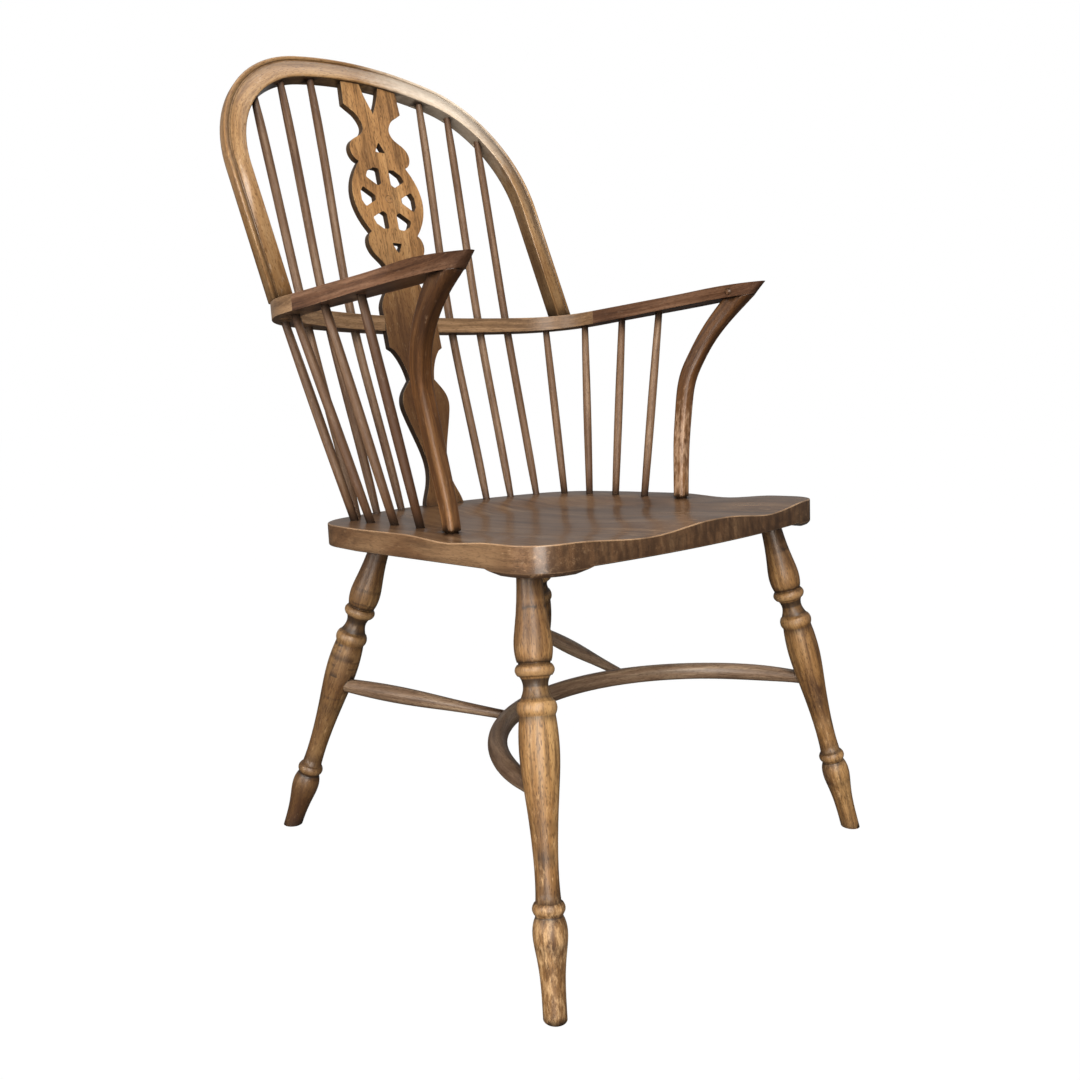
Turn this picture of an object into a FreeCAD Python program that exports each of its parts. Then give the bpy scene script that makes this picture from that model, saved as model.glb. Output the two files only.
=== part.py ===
import FreeCAD, Part
import math
import os

from FreeCAD import Rotation, Vector

# A wheelback Windsor armchair. Millimetres, +Z up, the front of the seat towards -Y,
# +X to the right of someone who looks at the front. Every piece is worked out round a
# datum on the seat, and only the finished pieces are moved so that the origin lies on
# the floor under the middle of the chair's outline.
footprint_middle_y = 46.65

# Fits
socket_gap = 0.1        # round a tenon in its socket
socket_end_gap = 1.0    # below a tenon in a blind socket
through_gap = 0.15      # round a spindle where it passes the arm rail
joint_gap = 0.1         # between faces that are glued up

# Seat: a sawn elm slab that falls a little towards the back
seat_height = 445.0         # top of the rim at seat_datum_y
seat_datum_y = -60.0
seat_fall_angle = 3.45
seat_thickness = 33.0
seat_front_y = -263.0       # middle of the bowed front edge
seat_front_bow = 29.0       # how far the front edge bows out past its corners
seat_corner_x = 269.0       # half width at the front corners
seat_waist_x = 253.0        # half width where the side meets the back curve
seat_waist_y = 80.0
seat_back_y = 231.0
seat_back_bow = 44.0        # how far the back edge bows out past its corners
seat_back_corner_x = 236.0
seat_front_corner_radius = 47.0
seat_back_corner_radius = 88.0
seat_bevel_in = 34.0        # wide bevel under the edge, along the underside
seat_bevel_up = 6.0         # and up the edge
seat_lump_reach = 76.0      # the bevel stops this far from the front corners
seat_lump_slope = 22.0      # over which the thick corner fades out
seat_lump_bevel = 4.0       # small bevel under the corners that stay thick
seat_crown = 4.0            # wood above the rim before the top is saddled

# Saddling of the seat's top
dish_depth = 11.0
dish_half_width = 222.0
dish_centre_y = -20.0
dish_back_reach = 205.0
dish_wall = 0.42            # share of the dish that is its sloping wall
front_hollow_depth = 6.0
front_hollow_x = 118.0
front_hollow_half_width = 105.0
pommel_drop = -1.5          # the middle of the front edge stands a little proud
side_dip_depth = 4.5
side_dip_y = -95.0
side_dip_half_length = 75.0
saddle_grid_step = 20.0

# Legs: one turning, the back pair cut shorter at the foot
front_foot = Vector(295.5, -292.0, 0.0)
front_leg_aim = Vector(228.2, -189.0, seat_height - 32.3)
rear_foot = Vector(241.6, 263.2, 0.0)
rear_leg_aim = Vector(150.2, 169.0, seat_height - 54.1)
rear_leg_cut_short = 18.7
foot_radius = 12.0
foot_bulge_radius = 17.6
lower_ring_radius = 16.7
lower_neck_radius = 12.2
belly_radius = 20.6
middle_ring_radius = 20.8
cove_radius = 12.9
upper_ring_radius = 20.4
vase_radius = 20.0
leg_top_radius = 13.5
leg_tenon_radius = 11.0
leg_tenon_length = 18.0

# Bowed stretcher between the front legs and its two spurs
bow_end_height = 207.5
bow_middle_height = 200.8   # it hangs a little towards the back
bow_middle_y = -18.8        # centre line of the stretcher at its furthest back
bow_thickness = 22.5
bow_end_thickness = 18.0
bow_end_short = 2.0         # its ends stop this far short of the legs' axes
bow_stations = 16
spur_bow_x = 112.0
spur_bow_drop = 2.5         # the spurs meet the bow this far below its centre line
spur_leg_height = 202.0
spur_shape = [              # share of the way from the bow to the leg, and radius
    (0.0, 5.6), (0.14, 6.3), (0.32, 7.9), (0.5, 10.2), (0.68, 11.2), (0.86, 10.1), (1.0, 8.0),
]
spur_end_short = 2.0        # its ends stop this far short of the bow's and leg's axes

# Arm rail: a bent back rail with an arm glued to each end, all in one plane
rail_thickness = 24.0       # behind the splat; it thins towards the front
rail_under_rise_angle = 6.6    # the underside's rise towards the front
rail_back_y = 301.0         # centre line behind the splat
rail_top_height = 696.8     # top of the rail at rail_height_y
rail_height_y = 278.0
rail_rise_angle = 5.7       # towards the front
rail_width = 32.0
rail_back_half = 200.0      # half length of the gently curved back
rail_back_radius = 530.0
rail_side_x = 265.0         # centre line of the straight sides
arm_joint_y = 152.0
arm_tongue_length = 38.0
arm_tongue_thickness = 7.0
arm_tongue_width = 17.0
arm_tongue_depth = 10.5     # its middle below the top
arm_hand_inner_x = 237.0
arm_hand_outer_x = 291.0
arm_hand_y = -88.0
arm_tip_x = 261.0
arm_tip_y = -146.0
arm_tip_undercut = 30.0     # how far the end of the arm draws back at arm_under_depth
arm_under_depth = 24.0
arm_under_inner_x = 248.5   # its narrow underside, above the support
arm_under_outer_x = 275.0
arm_under_nose_half = 9.5   # it ends bluntly, as wide as the support below it

# Arm supports: centre line as height above the seat's rim, width across the arm and depth
# along it, drawn for a rail that stands support_drawn_rise above the seat
support_drawn_rise = 251.8
support_line = [
    (Vector(212.8, -51.2, -7.0), 18.0, 18.0),
    (Vector(217.9, -46.0, 43.0), 18.5, 19.0),
    (Vector(223.2, -41.8, 75.0), 19.5, 20.0),
    (Vector(232.0, -37.6, 122.0), 20.0, 21.0),
    (Vector(242.4, -37.5, 169.0), 20.5, 22.0),
    (Vector(248.4, -44.5, 192.0), 20.0, 22.0),
    (Vector(253.3, -55.0, 215.0), 20.0, 22.5),
    (Vector(257.5, -70.5, 239.0), 20.5, 24.0),
    (Vector(261.0, -90.0, 262.0), 21.5, 26.0),
    (Vector(262.0, -108.0, 280.0), 22.5, 28.0),
    (Vector(262.5, -127.0, 298.0), 22.5, 28.0),
]
support_stations = 15
support_corner = 0.3        # corner radius as a share of the smaller side
support_tenon_radius = 8.0
support_tenon_length = 16.0
support_top_tenon_radius = 6.5
support_top_tenon_length = 13.0
support_peg_radius = 3.2
support_peg_length = 24.0

# Back hoop: a flat-faced bow with a scratched bead, leaning back from the arm rail
hoop_lean = 0.48            # back per unit of height
hoop_foot_x = 251.5         # centre line
hoop_foot_y = 223.5
hoop_height = 374.0         # centre line above the rail, along the slope
hoop_width = 31.0
hoop_depth = 21.0
hoop_top_half = 117.0       # half width of the flat arch at the top
hoop_top_radius = 583.5
hoop_leg_lean = 1.0         # degrees that its legs draw in towards the rail
hoop_back_round = 11.5
hoop_front_round = 2.0
hoop_bead_width = 7.5
hoop_bead_groove = 1.6
hoop_tenon_width = 17.0
hoop_tenon_depth = 11.0

# Splat: one fretted plank from the seat to the hoop, front face towards the sitter
splat_thickness = 10.0
splat_front_y = 212.0       # front face at splat_base_height
splat_base_height = seat_height - 18.0
splat_lean_angle = 15.0
splat_base_half = 35.0
splat_tenon_half = 24.0
splat_tenon_length = 14.0
splat_rail_half = 48.0      # its straight stretch, which crosses the arm rail
splat_rail_stretch = 53.0   # length of that stretch
splat_rail_margin = 21.5    # how far it reaches below the rail's underside
splat_drawn_low = 233.0     # length below it that the lower outline is drawn for
prong_outer = 49.0          # the two prongs at the hoop, from the middle
prong_inner = 17.0
prong_shoulder = 2.5
prong_end_rise = 346.0      # their tenons end here, above the straight stretch
prong_fork_rise = 295.0
wheel_rise = 167.6          # hub, above the straight stretch
wheel_half_height = 51.3
wheel_half_width = 63.0
wheel_notch_half = 41.5
wheel_hole_inner = 24.0
wheel_hole_outer = 49.0
wheel_hole_half_angle = 19.0
wheel_hole_inner_half = 3.6
wheel_hole_round = 4.0
wheel_holes = 6
roundel_radius = 5.5
roundel_groove = 1.2
roundel_depth = 0.7
small_hole_half = 9.0       # the triangle above the wheel and the one below it
upper_hole_rise = 69.4      # above the hub
upper_hole_height = 16.0
lower_hole_drop = 65.6      # below the hub
lower_hole_height = 15.5

# Spindles
spindle_radius = 6.1
spindle_end_radius = 5.0
spindle_taper_length = 70.0
spindle_stations = 16
spindle_seat_depth = 14.0
spindle_top_depth = 12.0
spindle_rail_back = 6.0     # the long spindles cross the rail behind its centre line
spindle_hoop_back = 2.0     # and enter the hoop behind its middle
long_spindle_base_x = (80.5, 126.0, 168.0)
long_spindle_base_y = (212.5, 207.5, 193.5)
long_spindle_rail_x = (90.1, 138.1, 183.1)
long_spindle_top_x = (96.9, 148.0, 197.1)
short_spindle_base_x = (208.1, 205.3, 203.6, 196.1)
short_spindle_base_y = (11.3, 64.0, 114.4, 159.6)
short_spindle_top_x = (264.9, 265.4, 260.2, 236.3)
short_spindle_top_y = (36.2, 106.9, 177.8, 239.4)

far = 900.0                 # longer than any piece, for cutting half spaces


# Small helpers
def smooth(t):
    """Return 0 to 1 with soft ends as t goes from 0 to 1."""
    t = min(max(t, 0.0), 1.0)
    return t * t * (3.0 - 2.0 * t)


def mirrored(point):
    """Return the point on the chair's other side."""
    return Vector(-point.x, point.y, point.z)


def mirrored_shape(shape):
    """Return the same shape for the chair's other side."""
    return shape.mirror(Vector(0, 0, 0), Vector(1, 0, 0))


def along(start, end, distance):
    """Return the point at a distance from start towards end."""
    direction = end - start
    return start + direction * (distance / direction.Length)


def at_height(start, end, height):
    """Return the point at a height on the line through two points."""
    return start + (end - start) * ((height - start.z) / (end.z - start.z))


def rod(start, end, radius):
    """Return a plain cylinder between two points."""
    axis = end - start
    return Part.makeCylinder(radius, axis.Length, start, axis)


def half_space(point, normal):
    """Return a block that fills the side of a plane that the normal points to."""
    block = Part.makeBox(2 * far, 2 * far, far, Vector(-far, -far, 0))
    block.Placement = FreeCAD.Placement(point, Rotation(Vector(0, 0, 1), normal))
    return block


def span(points):
    """Return a straight edge through two points or a smooth one through more."""
    if len(points) == 2:
        return Part.LineSegment(points[0], points[1]).toShape()
    curve = Part.BSplineCurve()
    curve.interpolate(points)
    return curve.toShape()


def turned(start, end, spans):
    """Return a turned piece on the line from start to end.

    spans is a list of outlines, each a list of (distance from start, radius); a list of
    two points is a straight stretch, and a longer one is a smooth curve.
    """
    edges = []
    last = None
    for points in spans:
        vectors = [Vector(radius, 0, distance) for distance, radius in points]
        if last is not None and last.distanceToPoint(vectors[0]) > 1e-6:
            edges.append(span([last, vectors[0]]))
        edges.append(span(vectors))
        last = vectors[-1]
    first = Vector(spans[0][0][1], 0, spans[0][0][0])
    top = Vector(0, 0, last.z)
    bottom = Vector(0, 0, first.z)
    edges += [span([last, top]), span([top, bottom]), span([bottom, first])]
    face = Part.Face(Part.Wire(edges))
    solid = face.revolve(Vector(0, 0, 0), Vector(0, 0, 1), 360)
    solid.Placement = FreeCAD.Placement(start, Rotation(Vector(0, 0, 1), end - start))
    return solid


def tapered_rod(start, end, end_radius_a, middle_radius, end_radius_b, taper_a, taper_b):
    """Return a round stick that swells gently between its two ends."""
    length = (end - start).Length
    middle_a = taper_a + (length - taper_a - taper_b) * 0.33
    middle_b = taper_a + (length - taper_a - taper_b) * 0.67
    outline = [(0, end_radius_a), (taper_a, middle_radius - 0.35), (middle_a, middle_radius),
               (middle_b, middle_radius), (length - taper_b, middle_radius - 0.35),
               (length, end_radius_b)]
    return turned(start, end, [outline])


# Seat planes
seat_turn = Rotation(Vector(1, 0, 0), -seat_fall_angle)
seat_pivot = Vector(0, seat_datum_y, seat_height)
seat_normal = seat_turn.multVec(Vector(0, 0, 1))
seat_underside_point = seat_pivot - seat_normal * seat_thickness


def on_plane(x, y, point, normal):
    """Return the point above (x, y) on a plane."""
    z = point.z - (normal.x * (x - point.x) + normal.y * (y - point.y)) / normal.z
    return Vector(x, y, z)


def meet_plane(start, end, point, normal):
    """Return where the line through two points meets a plane."""
    direction = end - start
    return start + direction * ((point - start).dot(normal) / direction.dot(normal))


def seat_drop(x, y):
    """Return how far the saddled top lies below the rim at a place on the slab."""
    side = abs(x)
    reach = ((side / dish_half_width) ** 2.6 + (max(y - dish_centre_y, 0) / dish_back_reach) ** 2.6)
    bowl = dish_depth * smooth((1.0 - reach ** (1 / 2.6)) / dish_wall)
    hollow = smooth(1.0 - abs(side - front_hollow_x) / front_hollow_half_width)
    front = front_hollow_depth * hollow + pommel_drop * smooth(1.0 - side / front_hollow_x)
    forward = smooth((dish_centre_y - y) / (dish_centre_y - seat_front_y - 20.0))
    dip = smooth(1.0 - abs(y - side_dip_y) / side_dip_half_length)
    dip *= side_dip_depth * smooth((side - front_hollow_x) / (seat_waist_x - front_hollow_x))
    return bowl * (1 - forward) + front * forward + dip


def seat_outline():
    """Return the seat's plan, with its four corners still sharp."""
    front_left = Vector(-seat_corner_x, seat_front_y + seat_front_bow, 0)
    front_right = mirrored(front_left)
    back_left = Vector(-seat_back_corner_x, seat_back_y - seat_back_bow, 0)
    back_right = mirrored(back_left)
    waist_left = Vector(-seat_waist_x, seat_waist_y, 0)
    waist_right = mirrored(waist_left)
    edges = [
        Part.Arc(front_left, Vector(0, seat_front_y, 0), front_right).toShape(),
        span([front_right, waist_right]),
        span([waist_right, back_right]),
        Part.Arc(back_right, Vector(0, seat_back_y, 0), back_left).toShape(),
        span([back_left, waist_left]),
        span([waist_left, front_left]),
    ]
    return Part.Face(Part.Wire(edges))


def upright_edges(solid, low_x, y_from, y_to):
    """Return the upright edges of a slab whose places lie in a range."""
    found = []
    for edge in solid.Edges:
        a, b = edge.Vertexes[0].Point, edge.Vertexes[-1].Point
        upright = abs(a.x - b.x) < 1e-6 and abs(a.y - b.y) < 1e-6
        if upright and abs(a.x) > low_x and y_from < a.y < y_to:
            found.append(edge)
    return found


def seat_blank():
    """Return the seat's slab with rounded corners and a crown above the rim."""
    slab = seat_outline().extrude(Vector(0, 0, -seat_thickness - seat_crown))
    slab.translate(Vector(0, 0, seat_crown))
    front_y = seat_front_y + seat_front_bow
    slab = slab.makeFillet(seat_front_corner_radius, upright_edges(slab, 0, front_y - 1, front_y + 1))
    back_y = seat_back_y - seat_back_bow
    return slab.makeFillet(seat_back_corner_radius, upright_edges(slab, 0, back_y - 1, back_y + 1))


def saddle_waste():
    """Return the wood above the saddled top of the seat."""
    rows = []
    step = saddle_grid_step
    columns = int(math.ceil(seat_corner_x / step)) + 1
    row_count = int(math.ceil((seat_back_y - seat_front_y) / step)) + 3
    for row in range(row_count):
        y = seat_front_y - step + row * step
        rows.append([Vector(c * step, y, -seat_drop(c * step, y)) for c in range(-columns, columns + 1)])
    surface = Part.BSplineSurface()
    surface.interpolate(rows)
    return surface.toShape().extrude(Vector(0, 0, seat_thickness))


def seat_slab():
    """Return the seat before its sockets, in its own plane with the rim's top at zero."""
    blank = seat_blank()
    low_edges = [e for e in blank.Edges if e.BoundBox.ZMax < -seat_thickness + 1e-6]
    slab = blank.makeChamfer(seat_bevel_up, seat_bevel_in, low_edges).cut(saddle_waste())
    thick = blank.makeChamfer(seat_lump_bevel, low_edges)
    for side in (-1, 1):
        corner = Vector(side * seat_corner_x, seat_front_y + seat_front_bow, -seat_thickness)
        reach = Part.makeCone(seat_lump_reach - seat_lump_slope, seat_lump_reach, seat_bevel_up, corner)
        slab = slab.fuse(thick.common(reach))
    return slab.removeSplitter()


def placed_on_seat(shape):
    """Return a shape from the seat's own plane at its place in the chair."""
    placed = shape.copy()
    placed.rotate(Vector(0, seat_datum_y, 0), Vector(1, 0, 0), -seat_fall_angle)
    placed.translate(Vector(0, 0, seat_height))
    return placed


# Legs
def leg_outline(cut_short, top):
    """Return the outline of the leg's turning, from the foot up to the seat.

    Distances are measured from a front leg's foot, and the back legs lose cut_short.
    """
    ring = [
        [(-30, foot_radius), (4, foot_radius)],
        [(4, foot_radius), (22, foot_radius + 0.1), (42, foot_radius + 1.0), (60, foot_radius + 3.2),
         (78, foot_bulge_radius), (89, foot_bulge_radius - 0.7), (97, foot_bulge_radius - 3.6)],
        [(98.5, lower_ring_radius - 2.4), (104.5, lower_ring_radius), (110.5, lower_ring_radius - 2.4)],
        [(110.5, lower_neck_radius + 0.8), (126, lower_neck_radius), (150, lower_neck_radius + 0.2),
         (182, lower_neck_radius + 2.1), (218, belly_radius - 2.8), (252, belly_radius),
         (275, belly_radius - 0.3), (292, belly_radius - 1.9)],
        [(293, middle_ring_radius - 2.0), (300, middle_ring_radius), (307, middle_ring_radius - 2.2)],
        [(307, cove_radius + 4.6), (313, cove_radius + 1.8), (321, cove_radius),
         (328, cove_radius + 1.2), (332, cove_radius + 3.4)],
        [(332, upper_ring_radius - 2.8), (338, upper_ring_radius), (344, upper_ring_radius - 2.8)],
        [(344, upper_ring_radius - 3.8), (346, upper_ring_radius - 3.8)],
        [(346, vase_radius - 2.3), (355, vase_radius - 0.4), (365, vase_radius),
         (381, vase_radius - 1.8), (402, leg_top_radius + 1.9), (424, leg_top_radius + 0.3),
         (top + 12, leg_top_radius)],
    ]
    return [[(distance - cut_short, radius) for distance, radius in points] for points in ring]


def leg(foot, aim, cut_short):
    """Return a leg with its tenon, and the cutter for its socket in the seat."""
    shoulder = meet_plane(foot, aim, seat_underside_point, seat_normal)
    length = (shoulder - foot).Length
    body = turned(foot, aim, leg_outline(cut_short, length + cut_short))
    body = body.cut(half_space(Vector(0, 0, 0), Vector(0, 0, -1)))
    body = body.cut(half_space(seat_underside_point - seat_normal * joint_gap, seat_normal))
    tenon_top = along(foot, aim, length + leg_tenon_length)
    tenon_root = along(foot, aim, length - leg_tenon_length)
    body = body.fuse(rod(tenon_root, tenon_top, leg_tenon_radius)).removeSplitter()
    socket_top = along(foot, aim, length + leg_tenon_length + socket_end_gap)
    return body, rod(tenon_root, socket_top, leg_tenon_radius + socket_gap)


# Bowed stretcher and spurs
def bow_circle():
    """Return the plan radius, centre and end of the arc that the bowed stretcher follows."""
    end = at_height(front_foot, front_leg_aim, bow_end_height)
    rise = bow_middle_y - end.y
    radius = (end.x ** 2 + rise ** 2) / (2 * rise)
    return radius, Vector(0, bow_middle_y - radius, 0), end


def bow_point(angle):
    """Return a point on the bowed stretcher's centre line, angle 0 at its middle."""
    radius, centre, end = bow_circle()
    place = centre + Vector(math.sin(angle), math.cos(angle), 0) * radius
    share = (place.y - end.y) / (bow_middle_y - end.y)
    place.z = bow_end_height + (bow_middle_height - bow_end_height) * share
    return place


def bow_end_angle(shortfall):
    """Return the angle where the bow stops, a shortfall before a front leg's axis."""
    radius, centre, end = bow_circle()
    return math.atan2(end.x, end.y - centre.y) - shortfall / radius


def bow_solid(extra, shortfall):
    """Return the bowed stretcher, thinner at its ends, grown all round by extra."""
    end_angle = bow_end_angle(shortfall)
    rings = []
    for station in range(bow_stations + 1):
        angle = end_angle * (2 * station / bow_stations - 1)
        share = smooth((1 - abs(angle) / end_angle) * 4.0)
        diameter = bow_end_thickness + (bow_thickness - bow_end_thickness) * share
        tangent = bow_point(angle + 0.01) - bow_point(angle - 0.01)
        rings.append(Part.Wire(Part.makeCircle(diameter / 2 + extra, bow_point(angle), tangent)))
    return Part.makeLoft(rings, True, False)


def spur(extra, shortfall):
    """Return the right spur between the bow and the back leg, grown all round by extra."""
    at_bow = bow_point(math.asin(spur_bow_x / bow_circle()[0])) - Vector(0, 0, spur_bow_drop)
    at_leg = at_height(rear_foot, rear_leg_aim, spur_leg_height)
    start = along(at_bow, at_leg, shortfall)
    end = along(at_leg, at_bow, shortfall)
    length = (end - start).Length
    return turned(start, end, [[(share * length, radius + extra) for share, radius in spur_shape]])


# Arm rail
rail_turn = Rotation(Vector(1, 0, 0), -rail_rise_angle)
rail_pivot = Vector(0, rail_height_y, rail_top_height)
rail_normal = rail_turn.multVec(Vector(0, 0, 1))
rail_underside_point = Vector(0, rail_back_y, rail_top_height - rail_thickness)
rail_under_turn = Rotation(Vector(1, 0, 0), -rail_under_rise_angle)
rail_under_normal = rail_under_turn.multVec(Vector(0, 0, 1))


def rail_corner(offset):
    """Return the arcs' key points of the rail's right half, offset outwards from its line."""
    half_angle = math.asin(rail_back_half / rail_back_radius)
    radius = (rail_side_x - rail_back_half) / (1 - math.sin(half_angle))
    back_centre = Vector(0, rail_back_y - rail_back_radius, 0)
    meet = back_centre + Vector(math.sin(half_angle), math.cos(half_angle), 0) * rail_back_radius
    centre = meet - Vector(math.sin(half_angle), math.cos(half_angle), 0) * radius
    middle_angle = (math.pi / 2 + half_angle) / 2
    top = back_centre + Vector(0, rail_back_radius + offset, 0)
    start = centre + Vector(math.sin(half_angle), math.cos(half_angle), 0) * (radius + offset)
    middle = centre + Vector(math.sin(middle_angle), math.cos(middle_angle), 0) * (radius + offset)
    end = centre + Vector(radius + offset, 0, 0)
    return top, start, middle, end


def placed_on_rail(shape):
    """Return a shape from the rail's own plane at its place in the chair."""
    placed = shape.copy()
    placed.rotate(Vector(0, rail_height_y, 0), Vector(1, 0, 0), -rail_rise_angle)
    placed.translate(Vector(0, 0, rail_top_height))
    return placed


def back_rail_blank():
    """Return the bent back rail between the two arm joints, without its holes."""
    half = rail_width / 2
    edges = []
    ends = []
    for offset in (half, -half):
        top, start, middle, end = rail_corner(offset)
        joint = Vector(rail_side_x + offset, arm_joint_y, 0)
        edges.append(Part.Arc(mirrored(start), top, start).toShape())
        edges.append(Part.Arc(start, middle, end).toShape())
        edges.append(Part.Arc(mirrored(start), mirrored(middle), mirrored(end)).toShape())
        edges.append(span([end, joint]))
        edges.append(span([mirrored(end), mirrored(joint)]))
        ends.append(joint)
    edges.append(span([ends[0], ends[1]]))
    edges.append(span([mirrored(ends[0]), mirrored(ends[1])]))
    face = Part.Face(Part.Wire(Part.__sortEdges__(edges)))
    return rail_trimmed(face.extrude(Vector(0, 0, -2 * rail_thickness)))


def rail_trimmed(shape):
    """Return a piece of the rail at its place, cut off along the rail's underside."""
    return placed_on_rail(shape).cut(half_space(rail_underside_point, rail_under_normal * -1))


def arm_outline(inner, nose, outer, depth):
    """Return the closed outline of the right arm at a depth below its top."""
    edges = [
        span([Vector(x, y, -depth) for x, y in inner]),
        Part.Arc(Vector(inner[-1][0], inner[-1][1], -depth), Vector(nose[0], nose[1], -depth),
                 Vector(outer[-1][0], outer[-1][1], -depth)).toShape(),
        span([Vector(x, y, -depth) for x, y in reversed(outer)]),
        span([Vector(outer[0][0], outer[0][1], -depth), Vector(inner[0][0], inner[0][1], -depth)]),
    ]
    return Part.Wire(edges)


def arm_blank():
    """Return the right arm with its undercut hand, without its holes.

    The hand is broad on top, and below it narrows and draws back to meet the arm support.
    """
    joint_inner = (rail_side_x - rail_width / 2, arm_joint_y)
    joint_outer = (rail_side_x + rail_width / 2, arm_joint_y)
    top = arm_outline(
        [joint_inner, (rail_side_x - rail_width / 2 - 3, 60), (arm_hand_inner_x + 4, -35),
         (arm_hand_inner_x, arm_hand_y), (arm_hand_inner_x + 7, arm_tip_y + 25), (arm_tip_x - 6, arm_tip_y + 4)],
        (arm_tip_x, arm_tip_y),
        [joint_outer, (rail_side_x + rail_width / 2 + 2, 60), (arm_hand_outer_x - 4, -35),
         (arm_hand_outer_x, arm_hand_y), (arm_hand_outer_x - 10, arm_tip_y + 25), (arm_tip_x + 6, arm_tip_y + 4)],
        0.0)
    under_y = arm_tip_y + arm_tip_undercut
    low = arm_outline(
        [joint_inner, (rail_side_x - rail_width / 2 - 3, 60), (arm_hand_inner_x + 7, -15),
         (arm_under_inner_x - 2, under_y + 42), (arm_under_inner_x, under_y + 16),
         (arm_tip_x - arm_under_nose_half, under_y + 1.5)],
        (arm_tip_x, under_y),
        [joint_outer, (rail_side_x + rail_width / 2 + 2, 60), (arm_hand_outer_x - 7, -15),
         (arm_under_outer_x + 2, under_y + 42), (arm_under_outer_x, under_y + 16),
         (arm_tip_x + arm_under_nose_half, under_y + 1.5)],
        arm_under_depth)
    return rail_trimmed(Part.makeLoft([top, low], True, True))


def arm_tongue(gap):
    """Return the tongue that joins the right arm to the back rail, grown by gap."""
    width = arm_tongue_width + 2 * gap
    thickness = arm_tongue_thickness + 2 * gap
    corner = Vector(rail_side_x - width / 2, arm_joint_y - arm_tongue_length - gap,
                    -arm_tongue_depth - thickness / 2)
    return placed_on_rail(Part.makeBox(width, arm_tongue_length + gap, thickness, corner))


def splat_notch():
    """Return the waste where the splat is let into the front of the back rail."""
    half = splat_rail_half + socket_gap
    block = Part.makeBox(2 * half, splat_rail_high - splat_rail_low, far,
                         Vector(-half, splat_rail_low, -splat_thickness - socket_gap))
    return placed_on_splat(block)


# Hoop: drawn in its own plane, X across and Y up the slope, front face towards +Z
hoop_lean_angle = math.degrees(math.atan(hoop_lean))
hoop_base = on_plane(0, hoop_foot_y, rail_pivot, rail_normal)
hoop_front_normal = Rotation(Vector(1, 0, 0), 90 - hoop_lean_angle).multVec(Vector(0, 0, 1))


def placed_on_hoop(shape):
    """Return a shape from the hoop's own plane at its place in the chair."""
    placed = shape.copy()
    placed.rotate(Vector(0, 0, 0), Vector(1, 0, 0), 90 - hoop_lean_angle)
    placed.translate(hoop_base)
    return placed


def hoop_point(u, v):
    """Return a point of the hoop's middle plane in the chair."""
    lean = math.radians(hoop_lean_angle)
    return hoop_base + Vector(u, v * math.sin(lean), v * math.cos(lean))


def hoop_shoulder():
    """Return the centre, radius and end directions of the hoop's right shoulder."""
    top_angle = math.asin(hoop_top_half / hoop_top_radius)
    leg_angle = math.radians(hoop_leg_lean)
    outward = Vector(math.sin(top_angle), math.cos(top_angle), 0)
    side = Vector(math.cos(leg_angle), -math.sin(leg_angle), 0)
    meet = Vector(0, hoop_height - hoop_top_radius, 0) + outward * hoop_top_radius
    gap = Vector(meet.x - hoop_foot_x, meet.y, 0)
    radius = -gap.dot(side) / (1 - outward.dot(side))
    return meet - outward * radius, radius, outward, side


def hoop_path(foot_v):
    """Return the edges of the hoop's centre line, left foot first, and the right foot."""
    centre, radius, outward, side = hoop_shoulder()
    start = centre + outward * radius
    middle = centre + (outward + side).normalize() * radius
    end = centre + side * radius
    foot = end + Vector(side.y, -side.x, 0) * ((end.y - foot_v) / side.x)
    edges = [
        span([mirrored(foot), mirrored(end)]),
        Part.Arc(mirrored(end), mirrored(middle), mirrored(start)).toShape(),
        Part.Arc(mirrored(start), Vector(0, hoop_height, 0), start).toShape(),
        Part.Arc(start, middle, end).toShape(),
        span([end, foot]),
    ]
    return edges, foot


def hoop_inner_v(u):
    """Return how far up the slope the hoop's inner face is at a place across."""
    centre, radius, outward, side = hoop_shoulder()
    reach = radius - hoop_width / 2
    shoulder_start = (centre + outward * reach).x
    if u > shoulder_start:
        return centre.y + math.sqrt(reach ** 2 - (u - centre.x) ** 2)
    reach = hoop_top_radius - hoop_width / 2
    return hoop_height - hoop_top_radius + math.sqrt(reach ** 2 - u ** 2)


def hoop_section(foot, side):
    """Return the hoop's section at its left foot: side points inwards, +Z to the front."""
    half = hoop_width / 2
    depth = hoop_depth / 2
    front = hoop_front_round
    back = hoop_back_round
    short = 1 - math.sqrt(0.5)      # how far a round corner cuts in at its middle
    bead = half - hoop_bead_width
    groove = hoop_bead_groove

    def at(inwards, forwards):
        """Return the point of the section at a place on the hoop's left foot."""
        return foot + side * inwards + Vector(0, 0, forwards)

    def corner(inwards, forwards, radius, step_in, step_forward, turn):
        """Return a rounded corner, entered along the inward way if turn is set."""
        a = at(inwards, forwards + step_forward * radius)
        b = at(inwards + step_in * radius, forwards)
        m = at(inwards + step_in * radius * short, forwards + step_forward * radius * short)
        return Part.Arc(b, m, a).toShape() if turn else Part.Arc(a, m, b).toShape()

    edges = [
        span([at(half, depth - front), at(half, -depth + front)]),
        corner(half, -depth, front, -1, 1, False),
        span([at(half - front, -depth), at(-half + back, -depth)]),
        corner(-half, -depth, back, 1, 1, True),
        span([at(-half, -depth + back), at(-half, depth - front)]),
        corner(-half, depth, front, 1, -1, False),
        span([at(-half + front, depth), at(-bead - groove, depth)]),
        Part.Arc(at(-bead - groove, depth), at(-bead, depth - groove), at(-bead + groove, depth)).toShape(),
        span([at(-bead + groove, depth), at(half - front, depth)]),
        corner(half, depth, front, -1, -1, True),
    ]
    return Part.Wire(edges)


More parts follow.
